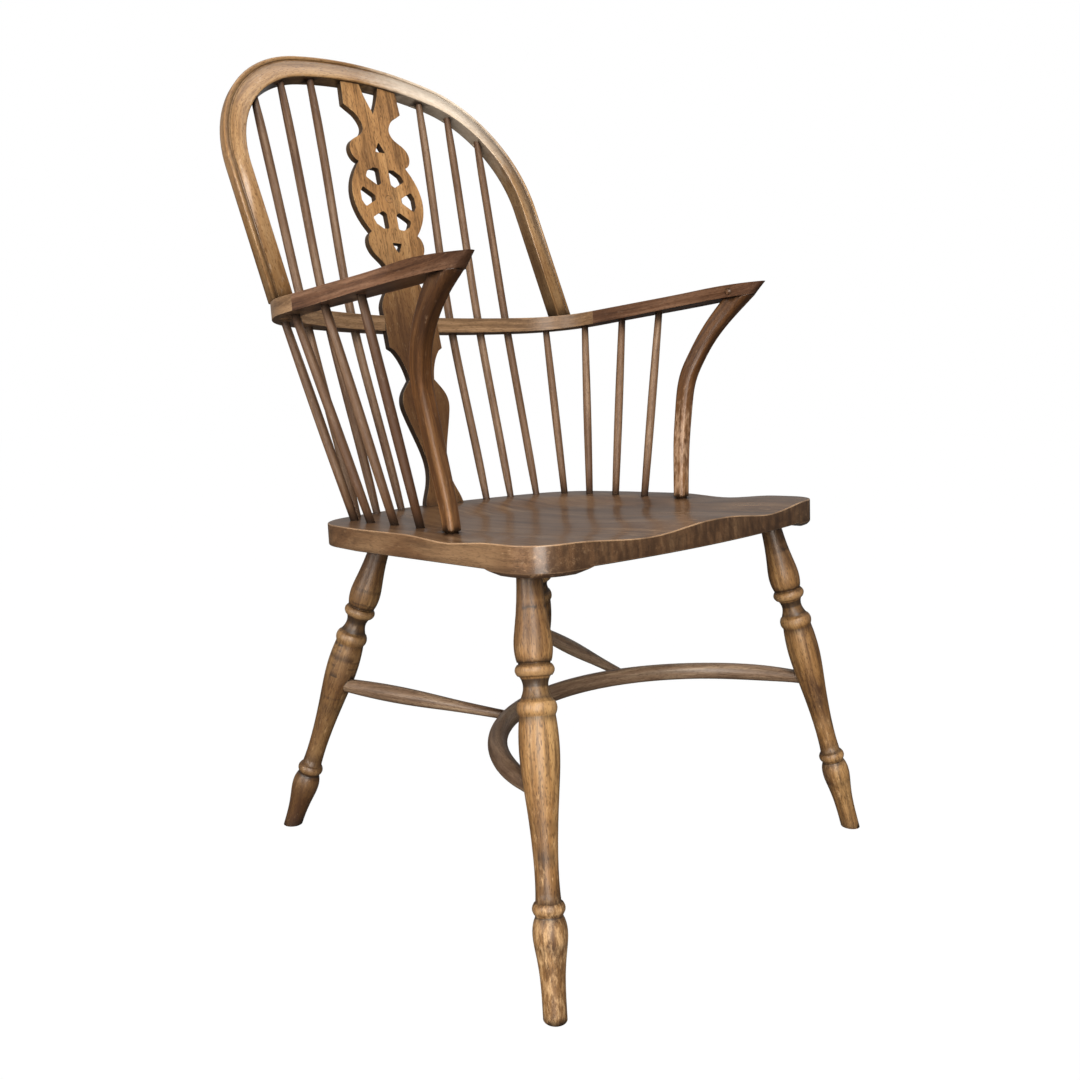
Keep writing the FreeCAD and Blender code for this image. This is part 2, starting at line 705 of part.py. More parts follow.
def hoop_body():
    """Return the bent hoop down to the top of the arm rail, without its mortises."""
    edges, foot = hoop_path(-hoop_width)
    side = Vector(math.cos(math.radians(hoop_leg_lean)), math.sin(math.radians(hoop_leg_lean)), 0)
    section = hoop_section(mirrored(foot), side)
    body = Part.Wire(edges).makePipeShell([section], True, False)
    body = placed_on_hoop(body)
    return body.cut(half_space(rail_pivot + rail_normal * joint_gap, rail_normal * -1))


def hoop_tenon(gap):
    """Return the tenon at the hoop's right foot, through the rail, grown by gap."""
    width = hoop_tenon_width + 2 * gap
    depth = hoop_tenon_depth + 2 * gap
    block = Part.makeBox(width, 2 * hoop_width, depth, Vector(-width / 2, -hoop_width, -depth / 2))
    block.rotate(Vector(0, 0, 0), Vector(0, 0, 1), -hoop_leg_lean)
    block.translate(Vector(hoop_foot_x, 0, 0))
    block = placed_on_hoop(block)
    return block.cut(half_space(rail_underside_point, rail_under_normal * -1))


# Splat: drawn in its own plane, X across and Y up the plank, front face at Z = 0
splat_base = Vector(0, splat_front_y, splat_base_height)
rail_crossing = (rail_top_height - rail_thickness - splat_base_height) / math.cos(math.radians(splat_lean_angle))
splat_rail_low = rail_crossing - splat_rail_margin
splat_rail_high = splat_rail_low + splat_rail_stretch
wheel_v = splat_rail_high + wheel_rise
prong_fork_v = splat_rail_high + prong_fork_rise
prong_end_v = splat_rail_high + prong_end_rise
upper_hole_v = wheel_v + upper_hole_rise
lower_hole_v = wheel_v - lower_hole_drop


def placed_on_splat(shape):
    """Return a shape from the splat's own plane at its place in the chair."""
    placed = shape.copy()
    placed.rotate(Vector(0, 0, 0), Vector(1, 0, 0), 90 - splat_lean_angle)
    placed.translate(splat_base)
    return placed


def splat_half_outline():
    """Return the right edge of the splat as spans, from the fork down to the seat."""
    notch_top = wheel_v + wheel_half_height
    notch_low = wheel_v - wheel_half_height
    notch = wheel_notch_half
    return [
        [(0, prong_fork_v), (6, prong_fork_v + 12), (12, prong_fork_v + 26), (prong_inner, prong_fork_v + 44)],
        [(prong_inner, prong_fork_v + 44), (prong_inner, prong_end_v)],
        [(prong_inner, prong_end_v), (prong_outer - 1.5, prong_end_v)],
        [(prong_outer - 1.5, prong_end_v), (prong_outer + 1.5, prong_fork_v + 6.5)],
        [(prong_outer + 1.5, prong_fork_v + 6.5), (34, prong_fork_v - 4)],
        [(34, prong_fork_v - 4), (26, prong_fork_v - 14), (23.5, prong_fork_v - 23), (27, prong_fork_v - 32),
         (38, notch_top + 36), (48, notch_top + 29), (53, notch_top + 19), (51, notch_top + 8), (notch, notch_top)],
        [(notch, notch_top), (wheel_half_width, wheel_v), (notch, notch_low)],
        [(notch, notch_low), (48.5, notch_low - 8), (50, notch_low - 18), (44, notch_low - 32),
         (31, notch_low - 45), (25, notch_low - 56), (26, notch_low - 68), (35, notch_low - 86),
         (45, notch_low - 102), (splat_rail_half, splat_rail_high)],
        [(splat_rail_half, splat_rail_high), (splat_rail_half, splat_rail_low)],
    ] + splat_lower_outline()


def splat_lower_outline():
    """Return the right edge from the arm rail to the seat, stretched to the room there is."""
    stretch = splat_rail_low / splat_drawn_low
    spans = [
        [(splat_rail_half, splat_drawn_low), (41, splat_drawn_low - 4)],
        [(41, splat_drawn_low - 4), (32, 216), (25.5, 200), (22.5, 186)],
        [(22.5, 186), (33, 174), (40.5, 162), (42.5, 150), (39.5, 135), (30.5, 108), (22.5, 84), (18.5, 64),
         (19.5, 44), (25, 27), (32, 12), (splat_base_half, -6)],
        [(splat_base_half, -6), (splat_base_half, -splat_thickness * 3)],
    ]
    return [[(u, v * stretch) for u, v in points] for points in spans]


def splat_plank():
    """Return the fretted plank without its scribed ends, in its own plane."""
    edges = []
    for points in splat_half_outline():
        for side in (1, -1):
            vectors = [Vector(side * u, v, 0) for u, v in points]
            edges.append(span(vectors))
    low = splat_lower_outline()[-1][-1][1]
    edges.append(span([Vector(splat_base_half, low, 0), Vector(-splat_base_half, low, 0)]))
    face = Part.Face(Part.Wire(Part.__sortEdges__(edges)))
    plank = face.extrude(Vector(0, 0, -splat_thickness))
    return plank.cut([wheel_hole(index) for index in range(wheel_holes)] + small_holes() + [roundel()])


def through_plank(points, radius):
    """Return a cutter through the plank with round corners."""
    vectors = [Vector(u, v, splat_thickness) for u, v in points]
    edges = [span([vectors[i - 1], vectors[i]]) for i in range(len(vectors))]
    cutter = Part.Face(Part.Wire(edges)).extrude(Vector(0, 0, -3 * splat_thickness))
    upright = [e for e in cutter.Edges if e.BoundBox.ZLength > splat_thickness]
    return cutter.makeFillet(radius, upright)


def wheel_hole(index):
    """Return the cutter for one of the wheel's holes, counted from the right."""
    turn = 2 * math.pi * index / wheel_holes
    half = math.radians(wheel_hole_half_angle)
    narrow = math.asin(wheel_hole_inner_half / wheel_hole_inner)
    places = [(wheel_hole_inner, -narrow), (wheel_hole_outer * 0.93, -half), (wheel_hole_outer, -half * 0.4),
              (wheel_hole_outer, half * 0.4), (wheel_hole_outer * 0.93, half), (wheel_hole_inner, narrow)]
    points = [(r * math.cos(turn + a), wheel_v + r * math.sin(turn + a)) for r, a in places]
    return through_plank(points, min(wheel_hole_round, wheel_hole_inner_half * 0.8))


def small_holes():
    """Return the cutters for the small triangles above and below the wheel."""
    upper = [(-small_hole_half, upper_hole_v), (small_hole_half, upper_hole_v),
             (0, upper_hole_v + upper_hole_height)]
    lower = [(-small_hole_half, lower_hole_v), (small_hole_half, lower_hole_v),
             (0, lower_hole_v - lower_hole_height)]
    return [through_plank(upper, 1.5), through_plank(lower, 1.5)]


def roundel():
    """Return the cutter for the ring scribed round the wheel's hub."""
    outer = Part.makeCylinder(roundel_radius + roundel_groove / 2, 2 * roundel_depth,
                              Vector(0, wheel_v, -roundel_depth))
    inner = Part.makeCylinder(roundel_radius - roundel_groove / 2, 2 * roundel_depth,
                              Vector(0, wheel_v, -roundel_depth))
    return outer.cut(inner)


def prong_tenons(gap):
    """Return the two tenons of the splat that enter the hoop, grown by gap."""
    width = prong_outer - prong_inner - 2 * prong_shoulder + 2 * gap
    thickness = splat_thickness + 2 * gap
    start_v = prong_fork_v + 35
    tenons = []
    for left in (prong_inner + prong_shoulder - gap, -prong_outer + prong_shoulder - gap):
        block = Part.makeBox(width, prong_end_v - start_v + 5 * gap, thickness,
                             Vector(left, start_v, -splat_thickness - gap))
        tenons.append(placed_on_splat(block))
    return tenons


def splat_tenon(gap):
    """Return the splat's tenon in the seat, grown by gap."""
    half = splat_tenon_half + gap
    top = 10.0
    length = top + splat_tenon_length + gap * 10
    block = Part.makeBox(2 * half, length, splat_thickness + 2 * gap,
                         Vector(-half, top - length, -splat_thickness - gap))
    return placed_on_splat(block)


# Spindles
def rail_centre_y(x):
    """Return where the centre line of the rail's gently curved back is, at a place across."""
    return rail_back_y - rail_back_radius + math.sqrt(rail_back_radius ** 2 - x ** 2)


def long_spindle(index, extra, seat_depth, top_depth):
    """Return a long spindle on the right side, from the seat through the rail to the hoop.

    The rail springs it a little, so it follows two straight runs with a soft bend between.
    """
    base = on_plane(long_spindle_base_x[index], long_spindle_base_y[index], seat_pivot, seat_normal)
    rail_x = long_spindle_rail_x[index]
    cross_y = rail_centre_y(rail_x) + spindle_rail_back
    cross = on_plane(rail_x, cross_y, rail_pivot - rail_normal * (rail_thickness / 2), rail_normal)
    top_x = long_spindle_top_x[index]
    top = hoop_point(top_x, hoop_inner_v(top_x)) - hoop_front_normal * spindle_hoop_back
    start = along(base, cross, -seat_depth)
    end = along(top, cross, -top_depth)
    line = Part.BSplineCurve()
    line.interpolate([start, (start + cross) * 0.5, cross, (end + cross) * 0.5, end])
    lower = (cross - start).Length
    length = lower + (end - cross).Length
    rings = []
    for station in range(spindle_stations + 1):
        share = station / spindle_stations
        place = line.FirstParameter + (line.LastParameter - line.FirstParameter) * share
        to_end = length * min(share, 1 - share)
        taper = smooth(to_end / spindle_taper_length)
        radius = spindle_end_radius + (spindle_radius - spindle_end_radius) * taper + extra
        tangent = line.tangent(place)[0]
        rings.append(Part.Wire(Part.makeCircle(radius, line.value(place), tangent)))
    return Part.makeLoft(rings, True, False)


def short_spindle(index, extra, seat_depth, top_depth):
    """Return a short spindle on the right side, from the seat to the arm rail."""
    base = on_plane(short_spindle_base_x[index], short_spindle_base_y[index], seat_pivot, seat_normal)
    top = on_plane(short_spindle_top_x[index], short_spindle_top_y[index],
                   rail_underside_point, rail_under_normal)
    start = along(base, top, -seat_depth)
    end = along(top, base, -top_depth)
    return tapered_rod(start, end, spindle_end_radius + extra, spindle_radius + extra,
                       spindle_end_radius + extra, spindle_taper_length, spindle_taper_length)


# Arm supports
def support_places():
    """Return the listed stations at their heights: the place, the width and the depth."""
    stretch = (rail_top_height - seat_height) / support_drawn_rise
    return [(Vector(p.x, p.y, seat_height + p.z * stretch), width, depth) for p, width, depth in support_line]


def support_curve():
    """Return the smooth centre line of the right arm support."""
    line = Part.BSplineCurve()
    line.interpolate([place for place, width, depth in support_places()])
    return line


def support_size(height):
    """Return the support's width and depth at a height, between the listed ones."""
    places = support_places()
    for (low, low_w, low_d), (high, high_w, high_d) in zip(places, places[1:]):
        if height <= high.z:
            break
    share = min(max((height - low.z) / (high.z - low.z), 0.0), 1.0)
    return low_w + (high_w - low_w) * share, low_d + (high_d - low_d) * share


def support_station(share):
    """Return the round-cornered section of the right support, a share of the way up."""
    line = support_curve()
    parameter = line.FirstParameter + (line.LastParameter - line.FirstParameter) * share
    place = line.value(parameter)
    tangent = line.tangent(parameter)[0]
    sideways = (Vector(1, 0, 0) - tangent * tangent.x).normalize()
    forwards = sideways.cross(tangent)
    width, depth = support_size(place.z)
    radius = support_corner * min(width, depth)
    half_w = width / 2
    half_d = depth / 2
    inset = radius * (1 - math.sqrt(0.5))
    corners = []
    for sa, sb, first_up in ((1, 1, True), (-1, 1, False), (-1, -1, True), (1, -1, False)):
        upright = place + sideways * (sa * half_w) + forwards * (sb * (half_d - radius))
        level = place + sideways * (sa * (half_w - radius)) + forwards * (sb * half_d)
        middle = place + sideways * (sa * (half_w - inset)) + forwards * (sb * (half_d - inset))
        corners.append((upright, middle, level) if first_up else (level, middle, upright))
    edges = []
    for index, (first, middle, last) in enumerate(corners):
        following = corners[(index + 1) % len(corners)][0]
        edges += [Part.Arc(first, middle, last).toShape(), span([last, following])]
    return Part.Wire(edges)


def support_body():
    """Return the right arm support, scribed to the seat's rim and the arm."""
    sections = [support_station(i / support_stations) for i in range(support_stations + 1)]
    body = Part.makeLoft(sections, True, False)
    body = body.cut(half_space(seat_pivot + seat_normal * joint_gap, seat_normal * -1))
    return body.cut(half_space(rail_underside_point - rail_under_normal * joint_gap, rail_under_normal))


def support_top():
    """Return where the right support's centre line meets the arm's underside."""
    places = support_places()
    return meet_plane(places[-4][0], places[-3][0], rail_underside_point, rail_under_normal)


def support_tenons(gap, end_gap):
    """Return the right support's tenons into the seat and the arm, grown by gap."""
    first, second = (place for place, width, depth in support_places()[:2])
    low = meet_plane(first, second, seat_pivot, seat_normal)
    root = along(low, second, support_tenon_length)
    tip = along(low, second, -support_tenon_length - end_gap)
    top = support_top()
    top_root = top - rail_normal * support_top_tenon_length
    top_tip = top + rail_normal * (support_top_tenon_length + end_gap)
    return [rod(root, tip, support_tenon_radius + gap), rod(top_root, top_tip, support_top_tenon_radius + gap)]


def support_peg(gap):
    """Return the peg across the right arm into the support's top tenon, grown by gap."""
    middle = support_top() + rail_normal * (support_top_tenon_length * 0.5)
    start = Vector(middle.x - support_peg_length, middle.y, middle.z)
    end = Vector(middle.x + support_top_tenon_radius * 0.6 + gap, middle.y, middle.z)
    return rod(start, end, support_peg_radius + gap)


# Assembly
def both(shape):
    """Return a shape and its copy on the chair's other side."""
    return [shape, mirrored_shape(shape)]


def spindle_set(make, count):
    """Return the right spindles of one kind, and the cutters for their blind sockets."""
    spindles = [make(i, 0.0, spindle_seat_depth, spindle_top_depth) for i in range(count)]
    cutters = [make(i, socket_gap, spindle_seat_depth + socket_end_gap, spindle_top_depth + socket_end_gap)
               for i in range(count)]
    return spindles, cutters


def under_frame(parts):
    """Add the legs and stretchers, and return the cutters for their sockets in the seat."""
    front_leg, front_socket = leg(front_foot, front_leg_aim, 0.0)
    rear_leg, rear_socket = leg(rear_foot, rear_leg_aim, rear_leg_cut_short)
    spur_cutter = spur(socket_gap, spur_end_short - socket_end_gap)
    front_leg = front_leg.cut(bow_solid(socket_gap, bow_end_short - socket_end_gap))
    rear_leg = rear_leg.cut(spur_cutter)
    parts["front_right_leg"] = front_leg
    parts["rear_right_leg"] = rear_leg
    parts["right_spur_stretcher"] = spur(0.0, spur_end_short)
    parts["bowed_stretcher"] = bow_solid(0.0, bow_end_short).cut(both(spur_cutter))
    return both(front_socket) + both(rear_socket)


def build():
    """Return every piece of the chair by name, round the seat's datum."""
    parts = {}
    seat_cutters = under_frame(parts)
    long_spindles, long_cutters = spindle_set(long_spindle, len(long_spindle_base_x))
    short_spindles, short_cutters = spindle_set(short_spindle, len(short_spindle_base_x))
    passages = [long_spindle(i, through_gap, 0.0, 0.0) for i in range(len(long_spindles))]
    for index, spindle in enumerate(long_spindles):
        parts["right_long_spindle_%d" % (index + 1)] = spindle
    for index, spindle in enumerate(short_spindles):
        parts["right_short_spindle_%d" % (index + 1)] = spindle

    sockets = support_tenons(socket_gap, socket_end_gap)
    support = support_body().fuse(support_tenons(0.0, 0.0)).removeSplitter()
    parts["right_arm_support"] = support.cut(support_peg(socket_gap))
    arm_cutters = short_cutters + sockets + [arm_tongue(joint_gap), support_peg(socket_gap)]
    parts["right_arm"] = arm_blank().cut(arm_cutters)

    rail = back_rail_blank().fuse(both(arm_tongue(0.0))).removeSplitter()
    rail_cutters = [splat_notch()]
    hoop = hoop_body()
    splat = placed_on_splat(splat_plank()).cut(hoop)
    splat = splat.cut(half_space(seat_pivot + seat_normal * joint_gap, seat_normal * -1))
    parts["splat"] = splat.fuse(prong_tenons(0.0) + [splat_tenon(0.0)]).removeSplitter()
    hoop = hoop.cut(prong_tenons(socket_gap))
    hoop = hoop.fuse(both(hoop_tenon(0.0))).removeSplitter()
    for cutter in long_cutters:
        hoop = hoop.cut(both(cutter))
        seat_cutters += both(cutter)
    for cutter in short_cutters + passages + [hoop_tenon(socket_gap)]:
        rail_cutters += both(cutter)
    for cutter in short_cutters + sockets[:1]:
        seat_cutters += both(cutter)
    seat_cutters.append(splat_tenon(socket_gap))
    parts["back_hoop"] = hoop
    parts["back_rail"] = rail.cut(rail_cutters)
    parts["seat"] = placed_on_seat(seat_slab()).cut(seat_cutters)
    for name in [name for name in parts if "right_" in name]:
        parts[name.replace("right_", "left_")] = mirrored_shape(parts[name])
    parts["support_pegs"] = Part.makeCompound(both(support_peg(0.0)))
    return parts


def main():
    """Build the chair and write one file for each piece."""
    os.makedirs("parts", exist_ok=True)
    for name, shape in sorted(build().items()):
        shape.translate(Vector(0, -footprint_middle_y, 0))
        shape.exportStep("parts/%s.step" % name)
        box = shape.BoundBox
        print("%-24s valid %s solids %d volume %.0f  x %.1f %.1f y %.1f %.1f z %.1f %.1f" % (
            name, shape.isValid(), len(shape.Solids), shape.Volume,
            box.XMin, box.XMax, box.YMin, box.YMax, box.ZMin, box.ZMax))


main()
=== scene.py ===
"""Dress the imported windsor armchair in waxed, worn wood and set it in a plain pale studio."""

from __future__ import annotations

import logging
import math
from collections.abc import Iterable
from dataclasses import dataclass, field
from enum import Enum
from typing import ClassVar

import bmesh
import bpy
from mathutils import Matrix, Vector

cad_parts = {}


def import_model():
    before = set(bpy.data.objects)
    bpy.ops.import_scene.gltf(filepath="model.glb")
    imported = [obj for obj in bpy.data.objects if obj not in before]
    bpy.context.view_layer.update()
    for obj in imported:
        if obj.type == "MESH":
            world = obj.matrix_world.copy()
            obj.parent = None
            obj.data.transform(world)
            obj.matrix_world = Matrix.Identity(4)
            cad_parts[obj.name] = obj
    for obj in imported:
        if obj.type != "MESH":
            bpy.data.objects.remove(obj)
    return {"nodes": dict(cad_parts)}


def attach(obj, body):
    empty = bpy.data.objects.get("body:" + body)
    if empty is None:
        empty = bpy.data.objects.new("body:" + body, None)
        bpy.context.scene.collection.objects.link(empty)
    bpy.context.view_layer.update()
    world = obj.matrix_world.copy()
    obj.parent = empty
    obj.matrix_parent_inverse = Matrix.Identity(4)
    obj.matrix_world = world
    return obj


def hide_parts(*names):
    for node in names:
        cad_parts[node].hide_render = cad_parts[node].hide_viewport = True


LOG = logging.getLogger("armchair")
MILLIMETRE = 0.001
BODY = "root"
SIDES = ("left", "right")

Colour = tuple[float, float, float]
Place = tuple[float, float, float]
Span = tuple[float, float]
Zones = tuple[tuple[float, float], ...]


class Grain(Enum):
    """The line that a piece's fibres follow."""

    STRAIGHT = "from one end to the other"
    SPRUNG = "from one end to the other, along a gentle bend"
    HOOP = "up one side, over the top and down the other"
    FLAT_BEND = "round a bend that lies level"
    DEPTH = "from the front of the plank to its back"


class Attribute(str, Enum):
    """The values that a piece's mesh hands to its finish."""

    GRAIN = "grain"
    HOLLOW = "hollow"
    CREST = "crest"
    ARRIS = "arris"
    WAX_AND_SHADE = "wax_and_shade"
    WEAR_AND_SHEEN = "wear_and_sheen"
    INSIDE = "inside"


@dataclass(frozen=True)
class Pattern:
    """A noise that lies along the grain, and the stretch of it that shows.

    The scale is in ripples to the metre, along the fibres and in the two directions across them.
    """

    scale: tuple[float, float, float]
    detail: float
    span: Span = (0.0, 1.0)
    rough: float = 0.55


@dataclass(frozen=True)
class WoodFinish:
    """One waxed wood: its colours as they are seen in plain light, its figure and its wear.

    A share says from 0 to 1 how strongly a mark shows. The ring pitch is in rings to the metre, and the
    painted shade in crevices is looked for within its reach in metres.
    """

    slot: str
    dark: Colour
    middle: Colour
    light: Colour
    # The pale colour of wear, which on the hoop also serves as a painted highlight.
    pale_tone: Colour
    # The darkest colour, used in the hollows and as painted shade in crevices and on cut faces.
    grime_and_shade: Colour = (0.016, 0.010, 0.007)
    ring_pitch: float = 190.0
    ring_share: float = 0.55
    blotch_share: float = 0.35
    fibre_share: float = 0.2
    fleck_share: float = 0.35
    streak_share: float = 0.3
    scuff_share: float = 0.2
    crevice_shade_reach: float = 0.022
    crevice_shade_share: float = 0.85
    end_grain_share: float = 0.0
    cut_shade_share: float = 0.0
    wear_sheen_noise: float = 1.0
    wax_and_shade_from: float = 0.0
    roughness: float = 0.4
    roughness_spread: float = 0.16
    coat: float = 0.25
    coat_roughness: float = 0.22
    relief: float = 0.12


class Palette:
    """The finishes of the chair's woods."""

    @staticmethod
    def finishes() -> dict[str, WoodFinish]:
        """Return every finish by the record's slot.

        Returns:
            The finishes, keyed by slot name.
        """
        listed = [
            # The seat's front is darker end grain, and its lower band gets painted shade.
            WoodFinish("seat_elm", (0.034, 0.018, 0.010), (0.145, 0.076, 0.037), (0.270, 0.165, 0.088),
                       (0.48, 0.31, 0.18), ring_pitch=85.0, ring_share=0.7, blotch_share=0.45,
                       fleck_share=0.4, streak_share=0.45, end_grain_share=0.8, wax_and_shade_from=0.6,
                       roughness=0.3, roughness_spread=0.06, coat=0.25, coat_roughness=0.17, relief=0.05),
            WoodFinish("leg_wood", (0.040, 0.015, 0.005), (0.240, 0.122, 0.042), (0.455, 0.275, 0.115),
                       (0.66, 0.43, 0.22), ring_pitch=240.0, ring_share=0.4, blotch_share=0.8,
                       fleck_share=0.7, streak_share=0.6, scuff_share=0.3, roughness=0.46, coat=0.1),
            WoodFinish("stretcher_wood", (0.046, 0.022, 0.011), (0.182, 0.114, 0.070), (0.340, 0.245, 0.160),
                       (0.48, 0.34, 0.22), fleck_share=0.55, streak_share=0.5, roughness=0.42, coat=0.1),
            WoodFinish("rail_wood", (0.064, 0.031, 0.014), (0.245, 0.145, 0.073), (0.420, 0.275, 0.162),
                       (0.52, 0.36, 0.22), fleck_share=0.5, streak_share=0.5, roughness=0.4, coat=0.12),
            WoodFinish("support_wood", (0.022, 0.008, 0.003), (0.120, 0.050, 0.015), (0.290, 0.145, 0.058),
                       (0.50, 0.33, 0.21), blotch_share=0.55, streak_share=0.55, roughness=0.4, coat=0.12),
            WoodFinish("peg_wood", (0.040, 0.018, 0.008), (0.090, 0.042, 0.018), (0.150, 0.076, 0.034),
                       (0.30, 0.18, 0.10)),
            WoodFinish("arm_wood", (0.030, 0.012, 0.006), (0.136, 0.064, 0.033), (0.280, 0.155, 0.092),
                       (0.42, 0.27, 0.18), fleck_share=0.45, streak_share=0.5, roughness=0.36, coat=0.18),
            # The hoop's pale colour is mostly a painted highlight, and its inner cut faces get painted shade.
            WoodFinish("hoop_wood", (0.130, 0.060, 0.021), (0.345, 0.195, 0.082), (0.500, 0.325, 0.165),
                       (0.88, 0.76, 0.62), fleck_share=0.8, streak_share=0.55, cut_shade_share=0.62,
                       wear_sheen_noise=0.3, blotch_share=0.6, roughness=0.34, coat=0.3),
            # The splat's cut faces get painted shade on the walls of its frets.
            WoodFinish("splat_wood", (0.048, 0.017, 0.0045), (0.385, 0.200, 0.074), (0.580, 0.345, 0.150),
                       (0.64, 0.44, 0.24), fleck_share=0.7, streak_share=0.6, cut_shade_share=0.85,
                       roughness=0.45, coat=0.12),
            WoodFinish("spindle_wood", (0.055, 0.021, 0.008), (0.172, 0.096, 0.050), (0.300, 0.198, 0.122),
                       (0.46, 0.35, 0.25), ring_pitch=300.0, fleck_share=0.5, streak_share=0.5,
                       roughness=0.55, coat=0.0),
        ]
        return {finish.slot: finish for finish in listed}


class WoodShader:
    """Builds the node tree of one finish from the grain that its pieces carry."""

    BLOTCHES: ClassVar[Pattern] = Pattern((6.0, 20.0, 20.0), 3.0, (0.3, 0.7))
    FIBRES: ClassVar[Pattern] = Pattern((28.0, 900.0, 900.0), 2.0, (0.3, 0.7))
    FLECKS: ClassVar[Pattern] = Pattern((160.0, 900.0, 900.0), 1.0, (0.55, 0.68))
    STREAKS: ClassVar[Pattern] = Pattern((9.0, 170.0, 170.0), 3.0, (0.5, 0.68), 0.6)
    SCUFFS: ClassVar[Pattern] = Pattern((70.0, 210.0, 210.0), 4.0, (0.6, 0.72), 0.7)
    END_STREAKS: ClassVar[Pattern] = Pattern((8.0, 18.0, 90.0), 3.0, (0.4, 0.62), 0.6)

    RING_BENDS: ClassVar[Pattern] = Pattern((3.5, 22.0, 22.0), 2.0)
    RING_BEND: ClassVar[float] = 30 * MILLIMETRE
    RING_DRIFT: ClassVar[float] = 2.5
    RING_DETAIL: ClassVar[float] = 4.0
    RING_ROUGH: ClassVar[float] = 0.62
    RING_SPAN: ClassVar[Span] = (0.3, 0.7)
    DARK_STOP: ClassVar[float] = 0.12
    LIGHT_STOP: ClassVar[float] = 0.88
    WAX_AND_SHADE_DEPTH: ClassVar[float] = 0.9
    PALE_ZONE_SHARE: ClassVar[float] = 0.6
    PALE_ZONE_START: ClassVar[float] = 0.2
    PALE_ZONE_START_BY_NOISE: ClassVar[float] = 0.5
    PALE_ZONE_BLEND: ClassVar[float] = 0.3
    PALE_ZONE_DEPTH: ClassVar[float] = 0.9
    END_TURN: ClassVar[Span] = (0.66, 0.93)
    END_STREAK_DEPTH: ClassVar[Span] = (0.35, 1.0)
    CUT_TURN: ClassVar[Span] = (0.4, 0.72)
    INSIDE_BLEND: ClassVar[Span] = (0.3, 0.7)
    OUTSIDE_CUT_SHADE: ClassVar[float] = 0.3
    CREST_DEPTH: ClassVar[float] = 0.22
    ARRIS_BLEND: ClassVar[Span] = (0.2, 0.9)
    ARRIS_DEPTH: ClassVar[Span] = (0.25, 0.8)
    UPWARD_HIGHLIGHT_TURN: ClassVar[Span] = (-0.3, 0.2)
    HOLLOW_DEPTH: ClassVar[float] = 0.85
    OPEN_AIR: ClassVar[Span] = (0.35, 0.9)
    CREVICE_SAMPLES: ClassVar[int] = 4
    SHINE: ClassVar[float] = 0.4
    RELIEF_HEIGHT: ClassVar[float] = 0.6 * MILLIMETRE
    RING_RELIEF: ClassVar[float] = 0.8

    def __init__(self, finish: WoodFinish) -> None:
        """Start an empty material for a finish.

        Args:
            finish: The wood to build.
        """
        self.finish = finish
        self.material = bpy.data.materials.new(finish.slot)
        self.material.use_nodes = True
        self.tree = self.material.node_tree
        self.tree.nodes.clear()
        self.grain = self._read(Attribute.GRAIN, "Vector")
        self.normal = self._node("ShaderNodeSeparateXYZ")
        self._feed(self.normal.inputs[0], self._node("ShaderNodeNewGeometry").outputs["Normal"])

    def _node(self, kind: str, **values: object) -> bpy.types.Node:
        """Add a node and set its plain properties.

        Args:
            kind: The node's type.
            values: The properties, by name.

        Returns:
            The new node.
        """
        node = self.tree.nodes.new(kind)
        for name, value in values.items():
            setattr(node, name, value)
        return node

    def _feed(self, socket: bpy.types.NodeSocket, value: object) -> None:
        """Link a socket to an output, or set it to a constant.

        Args:
            socket: The input to feed.
            value: An output, or a constant of the socket's kind.
        """
        if isinstance(value, bpy.types.NodeSocket):
            self.tree.links.new(value, socket)
        else:
            socket.default_value = value

    def _read(self, attribute: Attribute, output: str = "Fac") -> bpy.types.NodeSocket:
        """Return one output of a mesh attribute, by default its plain number."""
        return self._node("ShaderNodeAttribute", attribute_name=attribute.value).outputs[output]

    def _math(self, operation: str, first: object, second: object = 0.0) -> bpy.types.NodeSocket:
        """Return what an operation makes of one or two numbers.

        Args:
            operation: The operation's name.
            first: The first number.
            second: The second number, where the operation takes one.

        Returns:
            The result.
        """
        node = self._node("ShaderNodeMath", operation=operation)
        self._feed(node.inputs[0], first)
        self._feed(node.inputs[1], second)
        return node.outputs[0]

    def _scaled(self, vector: object, scale: tuple[float, float, float]) -> bpy.types.NodeSocket:
        """Return a vector stretched along its three directions.

        Args:
            vector: The vector.
            scale: How far it is stretched along each direction.

        Returns:
            The stretched vector.
        """
        node = self._node("ShaderNodeVectorMath", operation="MULTIPLY")
        self._feed(node.inputs[0], vector)
        self._feed(node.inputs[1], scale)
        return node.outputs[0]

    def _range(self, value: object, span: Span, to: Span = (0.0, 1.0)) -> bpy.types.NodeSocket:
        """Return a value spread from one span to another, without overshoot.

        Args:
            value: The value.
            span: The lowest and highest value that count.
            to: What those two become.

        Returns:
            The spread value.
        """
        node = self._node("ShaderNodeMapRange", clamp=True)
        self._feed(node.inputs["Value"], value)
        for socket, limit in zip(("From Min", "From Max", "To Min", "To Max"), (*span, *to)):
            self._feed(node.inputs[socket], limit)
        return node.outputs[0]

    def _mix(self, share: object, below: object, above: object) -> bpy.types.NodeSocket:
        """Return one colour laid over another by a share.

        Args:
            share: How much of the upper colour shows, from 0 to 1.
            below: The lower colour.
            above: The upper colour.

        Returns:
            The blended colour.
        """
        node = self._node("ShaderNodeMix", data_type="RGBA")
        self._feed(node.inputs[0], share)
        for socket, value in ((node.inputs[6], below), (node.inputs[7], above)):
            self._feed(socket, (*value, 1.0) if isinstance(value, tuple) else value)
        return node.outputs[2]

